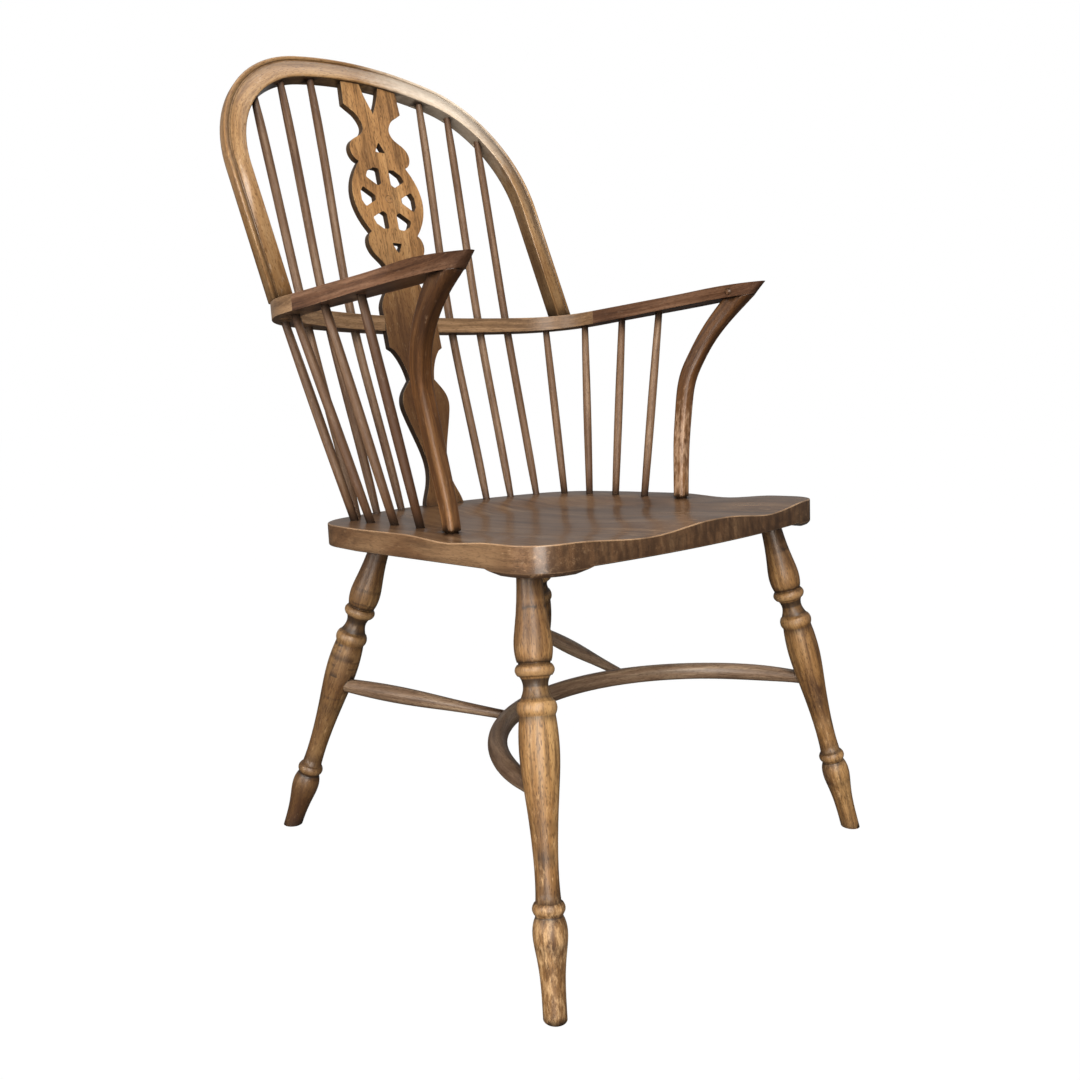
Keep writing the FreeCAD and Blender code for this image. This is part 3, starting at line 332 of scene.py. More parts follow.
    def _noise(self, place: object, detail: float, rough: float) -> bpy.types.NodeSocket:
        """Return soft noise from 0 to 1 at a place.

        Args:
            place: Where the noise is read, in its own ripples.
            detail: How many finer layers it has.
            rough: How strong the finer layers are.

        Returns:
            The noise.
        """
        node = self._node("ShaderNodeTexNoise")
        self._feed(node.inputs["Vector"], place)
        self._feed(node.inputs["Scale"], 1.0)
        self._feed(node.inputs["Detail"], detail)
        self._feed(node.inputs["Roughness"], rough)
        return node.outputs[0]

    def _whole(self, pattern: Pattern) -> bpy.types.NodeSocket:
        """Return the whole noise of a pattern in the grain."""
        return self._noise(self._scaled(self.grain, pattern.scale), pattern.detail, pattern.rough)

    def _shown(self, pattern: Pattern, to: Span = (0.0, 1.0)) -> bpy.types.NodeSocket:
        """Return the stretch of a pattern that shows, spread to a span."""
        return self._range(self._whole(pattern), pattern.span, to)

    def _rings(self) -> bpy.types.NodeSocket:
        """Return the growth rings, bent a little by slow noise.

        Returns:
            How light the ring is at each place, from 0 to 1.
        """
        across = self._node("ShaderNodeVectorMath", operation="LENGTH")
        self._feed(across.inputs[0], self._scaled(self.grain, (0.0, 1.0, 1.0)))
        bend = self._math("MULTIPLY", self._whole(self.RING_BENDS), self.RING_BEND)
        radius = self._math("ADD", across.outputs["Value"], bend)
        place = self._node("ShaderNodeCombineXYZ")
        self._feed(place.inputs[0], self._math("MULTIPLY", radius, self.finish.ring_pitch))
        along = self._node("ShaderNodeSeparateXYZ")
        self._feed(along.inputs[0], self.grain)
        self._feed(place.inputs[1], self._math("MULTIPLY", along.outputs[0], self.RING_DRIFT))
        rings = self._noise(place.outputs[0], self.RING_DETAIL, self.RING_ROUGH)
        return self._range(rings, self.RING_SPAN)

    def _figured(self, rings: object, blotches: object, fibres: object) -> bpy.types.NodeSocket:
        """Return the wood's colour from its rings, blotches and fibres.

        Args:
            rings: How light the rings are.
            blotches: How light the blotches are.
            fibres: How light the fibres are.

        Returns:
            The colour of the clean wood.
        """
        finish = self.finish
        total = finish.ring_share + finish.blotch_share + finish.fibre_share
        tone = self._math("MULTIPLY", rings, finish.ring_share / total)
        for pattern, share in ((blotches, finish.blotch_share), (fibres, finish.fibre_share)):
            tone = self._math("ADD", tone, self._math("MULTIPLY", pattern, share / total))
        ramp = self._node("ShaderNodeValToRGB")
        dark, light = ramp.color_ramp.elements
        dark.position, light.position = self.DARK_STOP, self.LIGHT_STOP
        dark.color, light.color = (*finish.dark, 1.0), (*finish.light, 1.0)
        ramp.color_ramp.elements.new(0.5).color = (*finish.middle, 1.0)
        self._feed(ramp.inputs[0], tone)
        return ramp.outputs[0]

    def _marked(self, colour: object) -> bpy.types.NodeSocket:
        """Return the colour with its short flecks, long streaks, and zones of darker wax and painted shade.

        Args:
            colour: The colour of the clean wood.

        Returns:
            The marked colour.
        """
        finish = self.finish
        flecks = self._math("MULTIPLY", self._shown(self.FLECKS), finish.fleck_share)
        streaks = self._math("MULTIPLY", self._shown(self.STREAKS), finish.streak_share)
        # Zones of darker wax and painted shade, such as under the seat, below the back rail and under the
        # arms.
        wax_and_shade = self._range(self._read(Attribute.WAX_AND_SHADE), (finish.wax_and_shade_from, 1.0), (0.0, self.WAX_AND_SHADE_DEPTH))
        for share in (flecks, streaks, wax_and_shade):
            colour = self._mix(share, colour, finish.dark)
        return colour

    def _scuffed_and_sheened(self, colour: object) -> bpy.types.NodeSocket:
        """Return the colour scuffed all over and pale in its listed zones: wear, and on the hoop a painted
        highlight.

        Args:
            colour: The colour before wear.

        Returns:
            The worn colour.
        """
        finish = self.finish
        scuffs = self._whole(self.SCUFFS)
        pale_tone = self._math("MULTIPLY", self._range(scuffs, self.SCUFFS.span), finish.scuff_share)
        uneven = self._math("MULTIPLY", scuffs, finish.wear_sheen_noise)
        # The listed pale zones are wear, and on the hoop a painted highlight.
        wear_and_sheen = self._math("MULTIPLY", self._read(Attribute.WEAR_AND_SHEEN), self.PALE_ZONE_SHARE)
        start = self.PALE_ZONE_START + self.PALE_ZONE_START_BY_NOISE * finish.wear_sheen_noise
        wear_and_sheen = self._range(self._math("ADD", uneven, wear_and_sheen), (start, start + self.PALE_ZONE_BLEND),
                             (0.0, self.PALE_ZONE_DEPTH))
        return self._mix(self._math("MAXIMUM", pale_tone, wear_and_sheen), colour, finish.pale_tone)

    def _end_grain_and_cut_shade(self, colour: object) -> bpy.types.NodeSocket:
        """Return the colour darkened on the cut ends of the fibres, and with painted shade on cut side faces.

        Args:
            colour: The colour of the faces.

        Returns:
            The colour of the faces, ends and edges.
        """
        finish = self.finish
        if finish.end_grain_share:
            front = self._range(self._math("MULTIPLY", self.normal.outputs[1], -1.0), self.END_TURN)
            front = self._math("MULTIPLY", front, finish.end_grain_share)
            streaks = self._shown(self.END_STREAKS, self.END_STREAK_DEPTH)
            colour = self._mix(self._math("MULTIPLY", front, streaks), colour, finish.dark)
        # Cut side faces get painted shade, full on the hoop's inner side and on the splat's frets.
        if finish.cut_shade_share:
            turned = self._math("ABSOLUTE", self.normal.outputs[1])
            turned = self._range(turned, self.CUT_TURN, (finish.cut_shade_share, 0.0))
            inside = self._read(Attribute.INSIDE)
            inside = self._range(inside, self.INSIDE_BLEND, (self.OUTSIDE_CUT_SHADE, 1.0))
            colour = self._mix(self._math("MULTIPLY", turned, inside), colour, finish.grime_and_shade)
        return colour

    def _polished_and_highlit(self, colour: object, blotches: object) -> bpy.types.NodeSocket:
        """Return the colour pale with wear on crests and on arrises that don't face down, where it adds a
        painted highlight.

        Args:
            colour: The colour before polishing.
            blotches: What makes the polish uneven.

        Returns:
            The polished colour.
        """
        crest = self._math("MULTIPLY", self._read(Attribute.CREST), self.CREST_DEPTH)
        uneven = self._range(blotches, self.ARRIS_BLEND, self.ARRIS_DEPTH)
        edge = self._math("MULTIPLY", self._read(Attribute.ARRIS), uneven)
        # Only arrises that face up turn pale: a painted highlight on top of the wear.
        edge = self._math("MULTIPLY", edge, self._range(self.normal.outputs[2], self.UPWARD_HIGHLIGHT_TURN))
        return self._mix(self._math("MAXIMUM", crest, edge), colour, self.finish.pale_tone)

    def _hollows_and_crevice_shade(self, colour: object) -> bpy.types.NodeSocket:
        """Return the colour darkened in the turned hollows, and with painted shade in the crevices.

        Args:
            colour: The clean colour.

        Returns:
            The soiled colour.
        """
        hollow = self._math("MULTIPLY", self._read(Attribute.HOLLOW), self.HOLLOW_DEPTH)
        # The occlusion node paints shade into crevices and the joints between parts.
        shade = self._node("ShaderNodeAmbientOcclusion", samples=self.CREVICE_SAMPLES)
        self._feed(shade.inputs["Distance"], self.finish.crevice_shade_reach)
        crevice_shade = self._range(shade.outputs["AO"], self.OPEN_AIR, (self.finish.crevice_shade_share, 0.0))
        return self._mix(self._math("MAXIMUM", hollow, crevice_shade), colour, self.finish.grime_and_shade)

    def build(self) -> bpy.types.Material:
        """Build the finish.

        Returns:
            The finished material.
        """
        finish = self.finish
        rings, blotches, fibres = self._rings(), self._shown(self.BLOTCHES), self._shown(self.FIBRES)
        colour = self._marked(self._figured(rings, blotches, fibres))
        colour = self._end_grain_and_cut_shade(self._scuffed_and_sheened(colour))
        colour = self._hollows_and_crevice_shade(self._polished_and_highlit(colour, blotches))

        surface = self._node("ShaderNodeBsdfPrincipled")
        self._feed(surface.inputs["Specular IOR Level"], self.SHINE)
        self._feed(surface.inputs["Base Color"], colour)
        half = finish.roughness_spread / 2
        roughness = self._range(blotches, (0.0, 1.0), (finish.roughness + half, finish.roughness - half))
        self._feed(surface.inputs["Roughness"], roughness)
        self._feed(surface.inputs["Coat Weight"], finish.coat)
        self._feed(surface.inputs["Coat Roughness"], finish.coat_roughness)
        bump = self._node("ShaderNodeBump")
        self._feed(bump.inputs["Strength"], finish.relief)
        self._feed(bump.inputs["Distance"], self.RELIEF_HEIGHT)
        height = self._math("ADD", fibres, self._math("MULTIPLY", rings, self.RING_RELIEF))
        self._feed(bump.inputs["Height"], height)
        self._feed(surface.inputs["Normal"], bump.outputs[0])
        output = self._node("ShaderNodeOutputMaterial")
        self._feed(output.inputs["Surface"], surface.outputs[0])
        return self.material


@dataclass
class GuideLine:
    """The line through the middle of a piece, found from the piece's own corners.

    A station takes in the corners within a share of the stations' spacing, and where the piece has only its
    two ends, within a share of its length.
    """

    STATION_REACH: ClassVar[float] = 0.6
    END_REACH: ClassVar[float] = 0.05
    HOOP_FACING: ClassVar[Place] = (0.0, 1.0, -0.32)

    grain: Grain
    corners: list[Vector]
    stations: int
    points: list[Vector] = field(default_factory=list)
    lengths: list[float] = field(default_factory=list)

    def __post_init__(self) -> None:
        """Find the line's points and how far along it each lies."""
        lows = [min(corner[axis] for corner in self.corners) for axis in range(3)]
        highs = [max(corner[axis] for corner in self.corners) for axis in range(3)]
        self.low, self.high = Vector(lows), Vector(highs)
        shares = [self.share(corner) for corner in self.corners]
        reach = self.STATION_REACH / (self.stations - 1) if self.stations > 2 else self.END_REACH
        found: list[Vector | None] = []
        for index in range(self.stations):
            middle = index / (self.stations - 1)
            near = [c for c, s in zip(self.corners, shares) if abs(s - middle) <= reach]
            found.append(self._box_middle(near) if near else None)
        self.points = self._filled(found)
        self.lengths = [0.0]
        for first, second in zip(self.points, self.points[1:]):
            self.lengths.append(self.lengths[-1] + (second - first).length)

    @staticmethod
    def _box_middle(places: list[Vector]) -> Vector:
        """Return the middle of the box round some places."""
        return Vector([(min(p[a] for p in places) + max(p[a] for p in places)) / 2 for a in range(3)])

    @staticmethod
    def _filled(found: list[Vector | None]) -> list[Vector]:
        """Return the points, with each gap filled from its neighbours.

        Args:
            found: The points, with nothing where none was found.

        Returns:
            A point for every station.
        """
        known = [(index, place) for index, place in enumerate(found) if place is not None]
        filled = []
        for index in range(len(found)):
            before = max((pair for pair in known if pair[0] <= index), default=known[0])
            after = min((pair for pair in known if pair[0] >= index), default=known[-1])
            span = max(after[0] - before[0], 1)
            filled.append(before[1].lerp(after[1], (index - before[0]) / span))
        return filled

    def share(self, place: Vector) -> float:
        """Return how far along the piece a place lies, from 0 to 1, or round a bend from right to left.

        Args:
            place: A place on the piece.

        Returns:
            The share of the piece's length, or of its half turn.
        """
        size = self.high - self.low
        if self.grain is Grain.HOOP:
            return math.atan2(place.z - self.low.z, place.x) / math.pi
        if self.grain is Grain.FLAT_BEND:
            return math.atan2(place.y - self.low.y, place.x) / math.pi
        if self.grain is Grain.DEPTH:
            return (place.y - self.low.y) / size.y
        axis = max(range(3), key=lambda a: size[a])
        return (place[axis] - self.low[axis]) / size[axis]

    def _flat(self, tangent: Vector) -> Vector:
        """Return the direction across the piece that its bend doesn't turn.

        Args:
            tangent: The direction of the fibres there.

        Returns:
            The direction, of length one.
        """
        start = Vector((0, 0, 1)) if self.grain is Grain.FLAT_BEND else Vector((1, 0, 0))
        if self.grain is Grain.HOOP:
            start = Vector(self.HOOP_FACING)
        return (start - tangent * start.dot(tangent)).normalized()

    def coordinate(self, place: Vector) -> Vector:
        """Return a place as a distance along the fibres and two distances across them.

        Args:
            place: A place on the piece.

        Returns:
            The three distances, in metres.
        """
        spot = min(max(self.share(place), 0.0), 1.0) * (self.stations - 1)
        index = min(int(spot), self.stations - 2)
        part = spot - index
        first, second = self.points[index], self.points[index + 1]
        tangent = (second - first).normalized()
        flat = self._flat(tangent)
        away = place - first.lerp(second, part)
        length = self.lengths[index] + (self.lengths[index + 1] - self.lengths[index]) * part
        return Vector((length + away.dot(tangent), away.dot(tangent.cross(flat)), away.dot(flat)))


@dataclass
class WoodenPiece:
    """One wooden piece, dressed over its node with softened arrises and a grain of its own.

    The pith is where the heart of the tree lies from the piece's middle line, in metres, and the grain
    start is how far along the plank the piece was cut. Zones list shares of the piece's length, each with
    a depth there.
    """

    WELD: ClassVar[float] = 0.002 * MILLIMETRE
    ARRIS_SEGMENTS: ClassVar[int] = 3
    ARRIS_TURN: ClassVar[float] = 40.0
    SHORTEST_ARRIS: ClassVar[float] = 60 * MILLIMETRE
    SMOOTH_BELOW: ClassVar[float] = 34.0
    FACING_DOWN: ClassVar[float] = -0.9
    PROFILE_STEP: ClassVar[float] = 2 * MILLIMETRE
    PROFILE_NEAR: ClassVar[int] = 5
    FULL_CREST: ClassVar[float] = 2.5 * MILLIMETRE
    FULL_HOLLOW: ClassVar[float] = 1.6 * MILLIMETRE

    node: str
    slot: str
    grain: Grain
    stations: int = 2
    pith: tuple[float, float] = (0.05, 0.035)
    grain_start: float = 0.0
    arris: float = 0.0
    turned: bool = False
    wax_and_shade: Zones = ()
    wear_and_sheen: Zones = ()
    shaded_skirt: float = 0.0

    def build(self, nodes: dict[str, bpy.types.Object], materials: dict[str, bpy.types.Material]
              ) -> bpy.types.Object:
        """Make the dressed piece and hand it to the frame.

        Args:
            nodes: The frame's nodes by name.
            materials: The finished materials by slot.

        Returns:
            The new object, which stands for the node.
        """
        mesh = self._mesh(nodes[self.node])
        piece = bpy.data.objects.new(f"{self.node}_wood", mesh)
        bpy.context.scene.collection.objects.link(piece)
        mesh.materials.clear()
        mesh.materials.append(materials[self.slot])
        self._write_grain(mesh)
        for polygon in mesh.polygons:
            polygon.use_smooth = True
        mesh.set_sharp_from_angle(angle=math.radians(self.SMOOTH_BELOW))
        if self.arris:
            even = piece.modifiers.new("even shading", "WEIGHTED_NORMAL")
            even.keep_sharp = True
        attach(piece, BODY)
        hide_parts(self.node)
        LOG.info("%s: %d faces", piece.name, len(mesh.polygons))
        return piece

    def _mesh(self, node: bpy.types.Object) -> bpy.types.Mesh:
        """Return a merged copy of the node's mesh with its outer arrises softened.

        Args:
            node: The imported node.

        Returns:
            The new mesh, with its softened faces marked.
        """
        shape = bmesh.new()
        shape.from_mesh(node.data)
        bmesh.ops.remove_doubles(shape, verts=shape.verts, dist=self.WELD)
        mark = shape.faces.layers.float.new(Attribute.ARRIS.value)
        if self.arris:
            made = bmesh.ops.bevel(shape, geom=self._outer_arrises(shape), offset=self.arris,
                                   segments=self.ARRIS_SEGMENTS, profile=0.5, affect="EDGES",
                                   clamp_overlap=True, material=-1)
            for face in made["faces"]:
                face[mark] = 1.0
        mesh = bpy.data.meshes.new(f"{self.node}_wood")
        shape.to_mesh(mesh)
        shape.free()
        return mesh

    def _outer_arrises(self, shape: bmesh.types.BMesh) -> list[bmesh.types.BMEdge]:
        """Return the long outward arrises, without the rims of sockets.

        Args:
            shape: The merged shape.

        Returns:
            The edges to soften.
        """
        limit = math.radians(self.ARRIS_TURN)
        left = {e for e in shape.edges
                if len(e.link_faces) == 2 and e.is_convex and e.calc_face_angle(0.0) > limit}
        kept: list[bmesh.types.BMEdge] = []
        while left:
            chain, rim = [], [left.pop()]
            while rim:
                edge = rim.pop()
                chain.append(edge)
                beside = {n for v in edge.verts for n in v.link_edges if n in left}
                left -= beside
                rim.extend(beside)
            places = [v.co for e in chain for v in e.verts]
            reach = max(max(p[a] for p in places) - min(p[a] for p in places) for a in range(3))
            if reach > self.SHORTEST_ARRIS:
                kept.extend(chain)
        return kept

    def _write_grain(self, mesh: bpy.types.Mesh) -> None:
        """Write each corner's place in the grain, where the piece is turned, and its zones of wax and
        painted shade and of wear and painted highlight.

        Args:
            mesh: The piece's mesh.
        """
        guide = GuideLine(self.grain, [vertex.co.copy() for vertex in mesh.vertices], self.stations)
        places = [guide.coordinate(vertex.co) for vertex in mesh.vertices]
        grain = mesh.attributes.new(Attribute.GRAIN.value, "FLOAT_VECTOR", "POINT")
        for spot, place in zip(grain.data, places):
            spot.vector = (place.x + self.grain_start, place.y + self.pith[0], place.z + self.pith[1])
        if self.turned:
            self._write_turning(mesh, places)
        for attribute, zones in ((Attribute.WAX_AND_SHADE, self.wax_and_shade), (Attribute.WEAR_AND_SHEEN, self.wear_and_sheen)):
            if zones:
                layer = mesh.attributes.new(attribute.value, "FLOAT", "POINT")
                for spot, vertex in zip(layer.data, mesh.vertices):
                    spot.value = self._zone(zones, guide.share(vertex.co))
        if self.shaded_skirt:
            self._write_shaded_skirt(mesh)
        self._write_inside(mesh, places)

    def _write_inside(self, mesh: bpy.types.Mesh, places: list[Vector]) -> None:
        """Write 1 on the inner side of the hoop and all over any other piece, where cut faces get full
        painted shade.

        Args:
            mesh: The piece's mesh.
            places: Its corners' places in the grain.
        """
        inside = mesh.attributes.new(Attribute.INSIDE.value, "FLOAT", "POINT")
        for spot, place in zip(inside.data, places):
            spot.value = 1.0 if self.grain is not Grain.HOOP or place.y > 0 else 0.0

    def _write_shaded_skirt(self, mesh: bpy.types.Mesh) -> None:
        """Write how near each corner lies to the underside, for the painted shade on the seat's lower band.

        Args:
            mesh: The seat's mesh.
        """
        levels: dict[int, list[bpy.types.MeshPolygon]] = {}
        for polygon in mesh.polygons:
            if polygon.normal.z < self.FACING_DOWN:
                levels.setdefault(round(polygon.center.dot(polygon.normal) / MILLIMETRE), []).append(polygon)
        widest = max(levels.values(), key=lambda level: sum(polygon.area for polygon in level))
        under = max(widest, key=lambda polygon: polygon.area)
        layer = mesh.attributes.new(Attribute.WAX_AND_SHADE.value, "FLOAT", "POINT")
        for spot, vertex in zip(layer.data, mesh.vertices):
            height = (under.center - vertex.co).dot(under.normal)
            spot.value = min(max(1.0 - height / self.shaded_skirt, 0.0), 1.0)

    @staticmethod
    def _zone(zones: Zones, share: float) -> float:
        """Return the value at a share of the piece's length, between the listed ones.

        Args:
            zones: The listed shares and their values.
            share: The share asked for.

        Returns:
            The value there.
        """
        for (low, first), (high, second) in zip(zones, zones[1:]):
            if share <= high:
                return first + (second - first) * min(max((share - low) / (high - low), 0.0), 1.0)
        return zones[-1][1]

    def _write_turning(self, mesh: bpy.types.Mesh, places: list[Vector]) -> None:
        """Write how far each corner of a turning stands in or out of its neighbourhood.

        Args:
            mesh: The turning's mesh.
            places: Its corners' places in the grain.
        """
        step, near = self.PROFILE_STEP, self.PROFILE_NEAR
        radii: dict[int, list[float]] = {}
        for place in places:
            radii.setdefault(round(place.x / step), []).append(math.hypot(place.y, place.z))
        profile = {index: max(values) for index, values in radii.items()}
        hollow = mesh.attributes.new(Attribute.HOLLOW.value, "FLOAT", "POINT")
        crest = mesh.attributes.new(Attribute.CREST.value, "FLOAT", "POINT")
        for index, place in enumerate(places):
            middle = round(place.x / step)
            around = [profile[i] for i in range(middle - near, middle + near + 1) if i in profile]
            lift = profile[middle] - sum(around) / len(around)
            hollow.data[index].value = min(max(-lift / self.FULL_HOLLOW, 0.0), 1.0)
            crest.data[index].value = min(max(lift / self.FULL_CREST, 0.0), 1.0)


class SubAssembly:
    """A group of pieces that are made and fitted together."""

    def pieces(self) -> Iterable[WoodenPiece]:
        """Return the pieces of the group."""
        raise NotImplementedError


@dataclass
class SaddledSeat(SubAssembly):
    """The elm plank that everything else is socketed into."""

    arris: float = 2.0 * MILLIMETRE
    pith: tuple[float, float] = (0.06, -0.16)
    # The height over the underside of the painted shade on the seat's lower band.
    shaded_skirt: float = 33 * MILLIMETRE
    wear_and_sheen: Zones = ((0.0, 0.1), (0.05, 0.3), (0.14, 0.15), (0.3, 0.1), (0.8, 0.1), (1.0, 0.2))

    def pieces(self) -> Iterable[WoodenPiece]:
        """Return the seat."""
        yield WoodenPiece("seat", "seat_elm", Grain.DEPTH, pith=self.pith, arris=self.arris,
                          shaded_skirt=self.shaded_skirt, wear_and_sheen=self.wear_and_sheen)


@dataclass
class TurnedLegs(SubAssembly):
    """The four turned legs, each with its own wax, wear and painted shade."""

    NODES: ClassVar[tuple[str, ...]] = (
        "front_left_leg", "front_right_leg", "rear_left_leg", "rear_right_leg",
    )

    pith: tuple[float, float] = (0.020, 0.012)
    grain_step: float = 0.9
    # Darker zones: painted shade under the seat and on the rear legs, with darker wax.
    wax_and_shade: tuple[Zones, ...] = (
        ((0.0, 0.0), (0.5, 0.0), (0.66, 0.05), (0.72, 0.15), (0.8, 0.15), (0.86, 0.35), (0.92, 0.5)),
        ((0.0, 0.1), (0.12, 0.0), (0.3, 0.0), (0.66, 0.05), (0.8, 0.05), (0.86, 0.3), (0.92, 0.8)),
        ((0.0, 0.85), (0.15, 0.7), (0.5, 0.65), (0.7, 0.4), (0.8, 0.4), (0.92, 0.9)),
        ((0.0, 0.5), (0.15, 0.45), (0.5, 0.35), (0.8, 0.45), (0.92, 0.9)),
    )
    wear_and_sheen: tuple[Zones, ...] = (
        ((0.0, 0.38), (0.2, 0.42), (0.3, 0.25), (0.45, 0.22), (0.6, 0.08), (1.0, 0.0)),
        ((0.0, 0.15), (0.15, 0.3), (0.35, 0.2), (0.6, 0.1), (1.0, 0.0)),
        ((0.0, 0.1), (0.2, 0.1), (0.3, 0.0), (1.0, 0.0)),
        ((0.0, 0.1), (0.2, 0.1), (0.3, 0.0), (1.0, 0.0)),
    )

    def pieces(self) -> Iterable[WoodenPiece]:
        """Return the legs, each cut from its own stretch of wood.

        Returns:
            The front legs, and then the rear ones.
        """
        for index, node in enumerate(self.NODES):
            yield WoodenPiece(node, "leg_wood", Grain.STRAIGHT, pith=self.pith, turned=True,
                              grain_start=self.grain_step * index,
                              wax_and_shade=self.wax_and_shade[index], wear_and_sheen=self.wear_and_sheen[index])


@dataclass
class Stretchers(SubAssembly):
    """The bowed stretcher and the two spurs behind it."""

    bow_stations: int = 24
    bow_grain: float = 4.1
    spur_grain: float = 5.0
    spur_pith: tuple[float, float] = (0.03, 0.02)

    def pieces(self) -> Iterable[WoodenPiece]:
        """Return the stretchers.

        Returns:
            The bowed stretcher, and then the left and right spur.
        """
        yield WoodenPiece("bowed_stretcher", "stretcher_wood", Grain.FLAT_BEND, self.bow_stations,
                          grain_start=self.bow_grain)
        for index, side in enumerate(SIDES):
            yield WoodenPiece(f"{side}_spur_stretcher", "stretcher_wood", Grain.STRAIGHT, pith=self.spur_pith,
                              grain_start=self.spur_grain + index)


@dataclass
class ArmRail(SubAssembly):
    """The bent back rail, the two arms and the bent supports under them."""

    rail_stations: int = 24
    rail_grain: float = 7.3
    arm_grain: float = 9.0
    support_stations: int = 12
    support_grain: float = 11.0
    support_pith: tuple[float, float] = (0.03, 0.02)
    # Darker zones of wax and painted shade on the arms and their supports.
    arm_wax_and_shade: tuple[Zones, ...] = (
        ((0.0, 0.9), (0.07, 0.65), (0.16, 0.1), (0.5, 0.0), (1.0, 0.1)),
        ((0.0, 0.6), (0.07, 0.35), (0.2, 0.3), (0.5, 0.35), (1.0, 0.3)),
    )
    support_wax_and_shade: tuple[Zones, ...] = (
        ((0.0, 0.0), (0.4, 0.25), (0.55, 0.05), (0.75, 0.35), (1.0, 0.85)),
        ((0.0, 0.0), (0.6, 0.1), (0.85, 0.2), (1.0, 0.5)),
    )
    support_pale_zones: tuple[Zones, ...] = (
        ((0.0, 0.1), (0.5, 0.15), (1.0, 0.0)),
        ((0.0, 0.45), (0.35, 0.5), (0.6, 0.15), (1.0, 0.0)),
    )
    arris: float = 1.0 * MILLIMETRE
    arm_arris: float = 2.2 * MILLIMETRE

    def pieces(self) -> Iterable[WoodenPiece]:
        """Return the rail, arms, supports and pegs.

        Returns:
            The rail, each arm with its support, and the pegs.
        """
        yield WoodenPiece("back_rail", "rail_wood", Grain.FLAT_BEND, self.rail_stations,
                          grain_start=self.rail_grain, arris=self.arris)
        for index, side in enumerate(SIDES):
            yield WoodenPiece(f"{side}_arm", "arm_wood", Grain.DEPTH, grain_start=self.arm_grain + index,
                              arris=self.arm_arris, wax_and_shade=self.arm_wax_and_shade[index])
            yield WoodenPiece(f"{side}_arm_support", "support_wood", Grain.SPRUNG, self.support_stations,
                              pith=self.support_pith, grain_start=self.support_grain + index,
                              wax_and_shade=self.support_wax_and_shade[index], wear_and_sheen=self.support_pale_zones[index])
        yield WoodenPiece("support_pegs", "peg_wood", Grain.STRAIGHT)


@dataclass
class BackHoop(SubAssembly):
    """The bent hoop of the back, with a painted highlight where it turns down to the right."""

    stations: int = 48
    grain_start: float = 13.0
    wax_and_shade: Zones = ((0.0, 0.1), (0.15, 0.0), (0.6, 0.0), (0.72, 0.15), (0.9, 0.25), (1.0, 0.35))
    # The pale zone is a painted highlight along the upper right of the arch.
    wear_and_sheen: Zones = ((0.0, 0.0), (0.2, 0.1), (0.28, 0.5), (0.36, 0.8), (0.44, 0.65), (0.52, 0.3), (0.6, 0.0))

    def pieces(self) -> Iterable[WoodenPiece]:
        """Return the hoop."""
        yield WoodenPiece("back_hoop", "hoop_wood", Grain.HOOP, self.stations,
                          grain_start=self.grain_start, wax_and_shade=self.wax_and_shade, wear_and_sheen=self.wear_and_sheen)


@dataclass
class WheelSplat(SubAssembly):
    """The fretted plank in the middle of the back."""

    arris: float = 0.6 * MILLIMETRE
    pith: tuple[float, float] = (0.09, 0.02)
    grain_start: float = 15.0
    # Darker low down: painted shade below the back rail and arms, with darker wax.
    wax_and_shade: Zones = ((0.0, 0.75), (0.1, 0.75), (0.2, 0.95), (0.42, 0.92), (0.5, 0.7), (0.6, 0.35), (0.7, 0.0))

    def pieces(self) -> Iterable[WoodenPiece]:
        """Return the splat."""
        yield WoodenPiece("splat", "splat_wood", Grain.STRAIGHT, pith=self.pith,
                          grain_start=self.grain_start, arris=self.arris, wax_and_shade=self.wax_and_shade)


@dataclass
class Spindles(SubAssembly):
    """The long spindles of the back and the short ones under the arms.

    The dusk says how dark each side's long spindles are, and each of its short ones from the front back.
    """

    long_count: int = 3
    long_stations: int = 9
    pith: tuple[float, float] = (0.02, 0.015)
    grain_before: float = 17.0
    end_darkness: Zones = ((0.0, 0.8), (1.0, 0.7))
    even_part: Span = (0.07, 0.9)
    long_dusk: tuple[float, float] = (0.3, 0.1)
    short_dusk: tuple[tuple[float, ...], ...] = ((0.95, 0.6, 0.5, 0.4), (0.1, 0.1, 0.1, 0.1))

    def pieces(self) -> Iterable[WoodenPiece]:
        """Return the spindles, each with a grain of its own.

        Returns:
            The left spindles, and then the right ones.
        """
        start = self.grain_before
        for side, long_dusk, short_dusk in zip(SIDES, self.long_dusk, self.short_dusk):
            for number in range(1, self.long_count + 1):
                start += 1.0
                yield WoodenPiece(f"{side}_long_spindle_{number}", "spindle_wood", Grain.SPRUNG,
                                  self.long_stations, pith=self.pith, grain_start=start,
                                  wax_and_shade=self._darker_ends(long_dusk))
            for number, dusk in enumerate(short_dusk, 1):
                start += 1.0
                yield WoodenPiece(f"{side}_short_spindle_{number}", "spindle_wood", Grain.STRAIGHT,
                                  pith=self.pith, grain_start=start, wax_and_shade=self._darker_ends(dusk))

    def _darker_ends(self, depth: float) -> Zones:
        """Return an even darkness, darker still at both ends of a spindle."""
        foot, top = self.end_darkness
        return foot, (self.even_part[0], depth), (self.even_part[1], depth), top


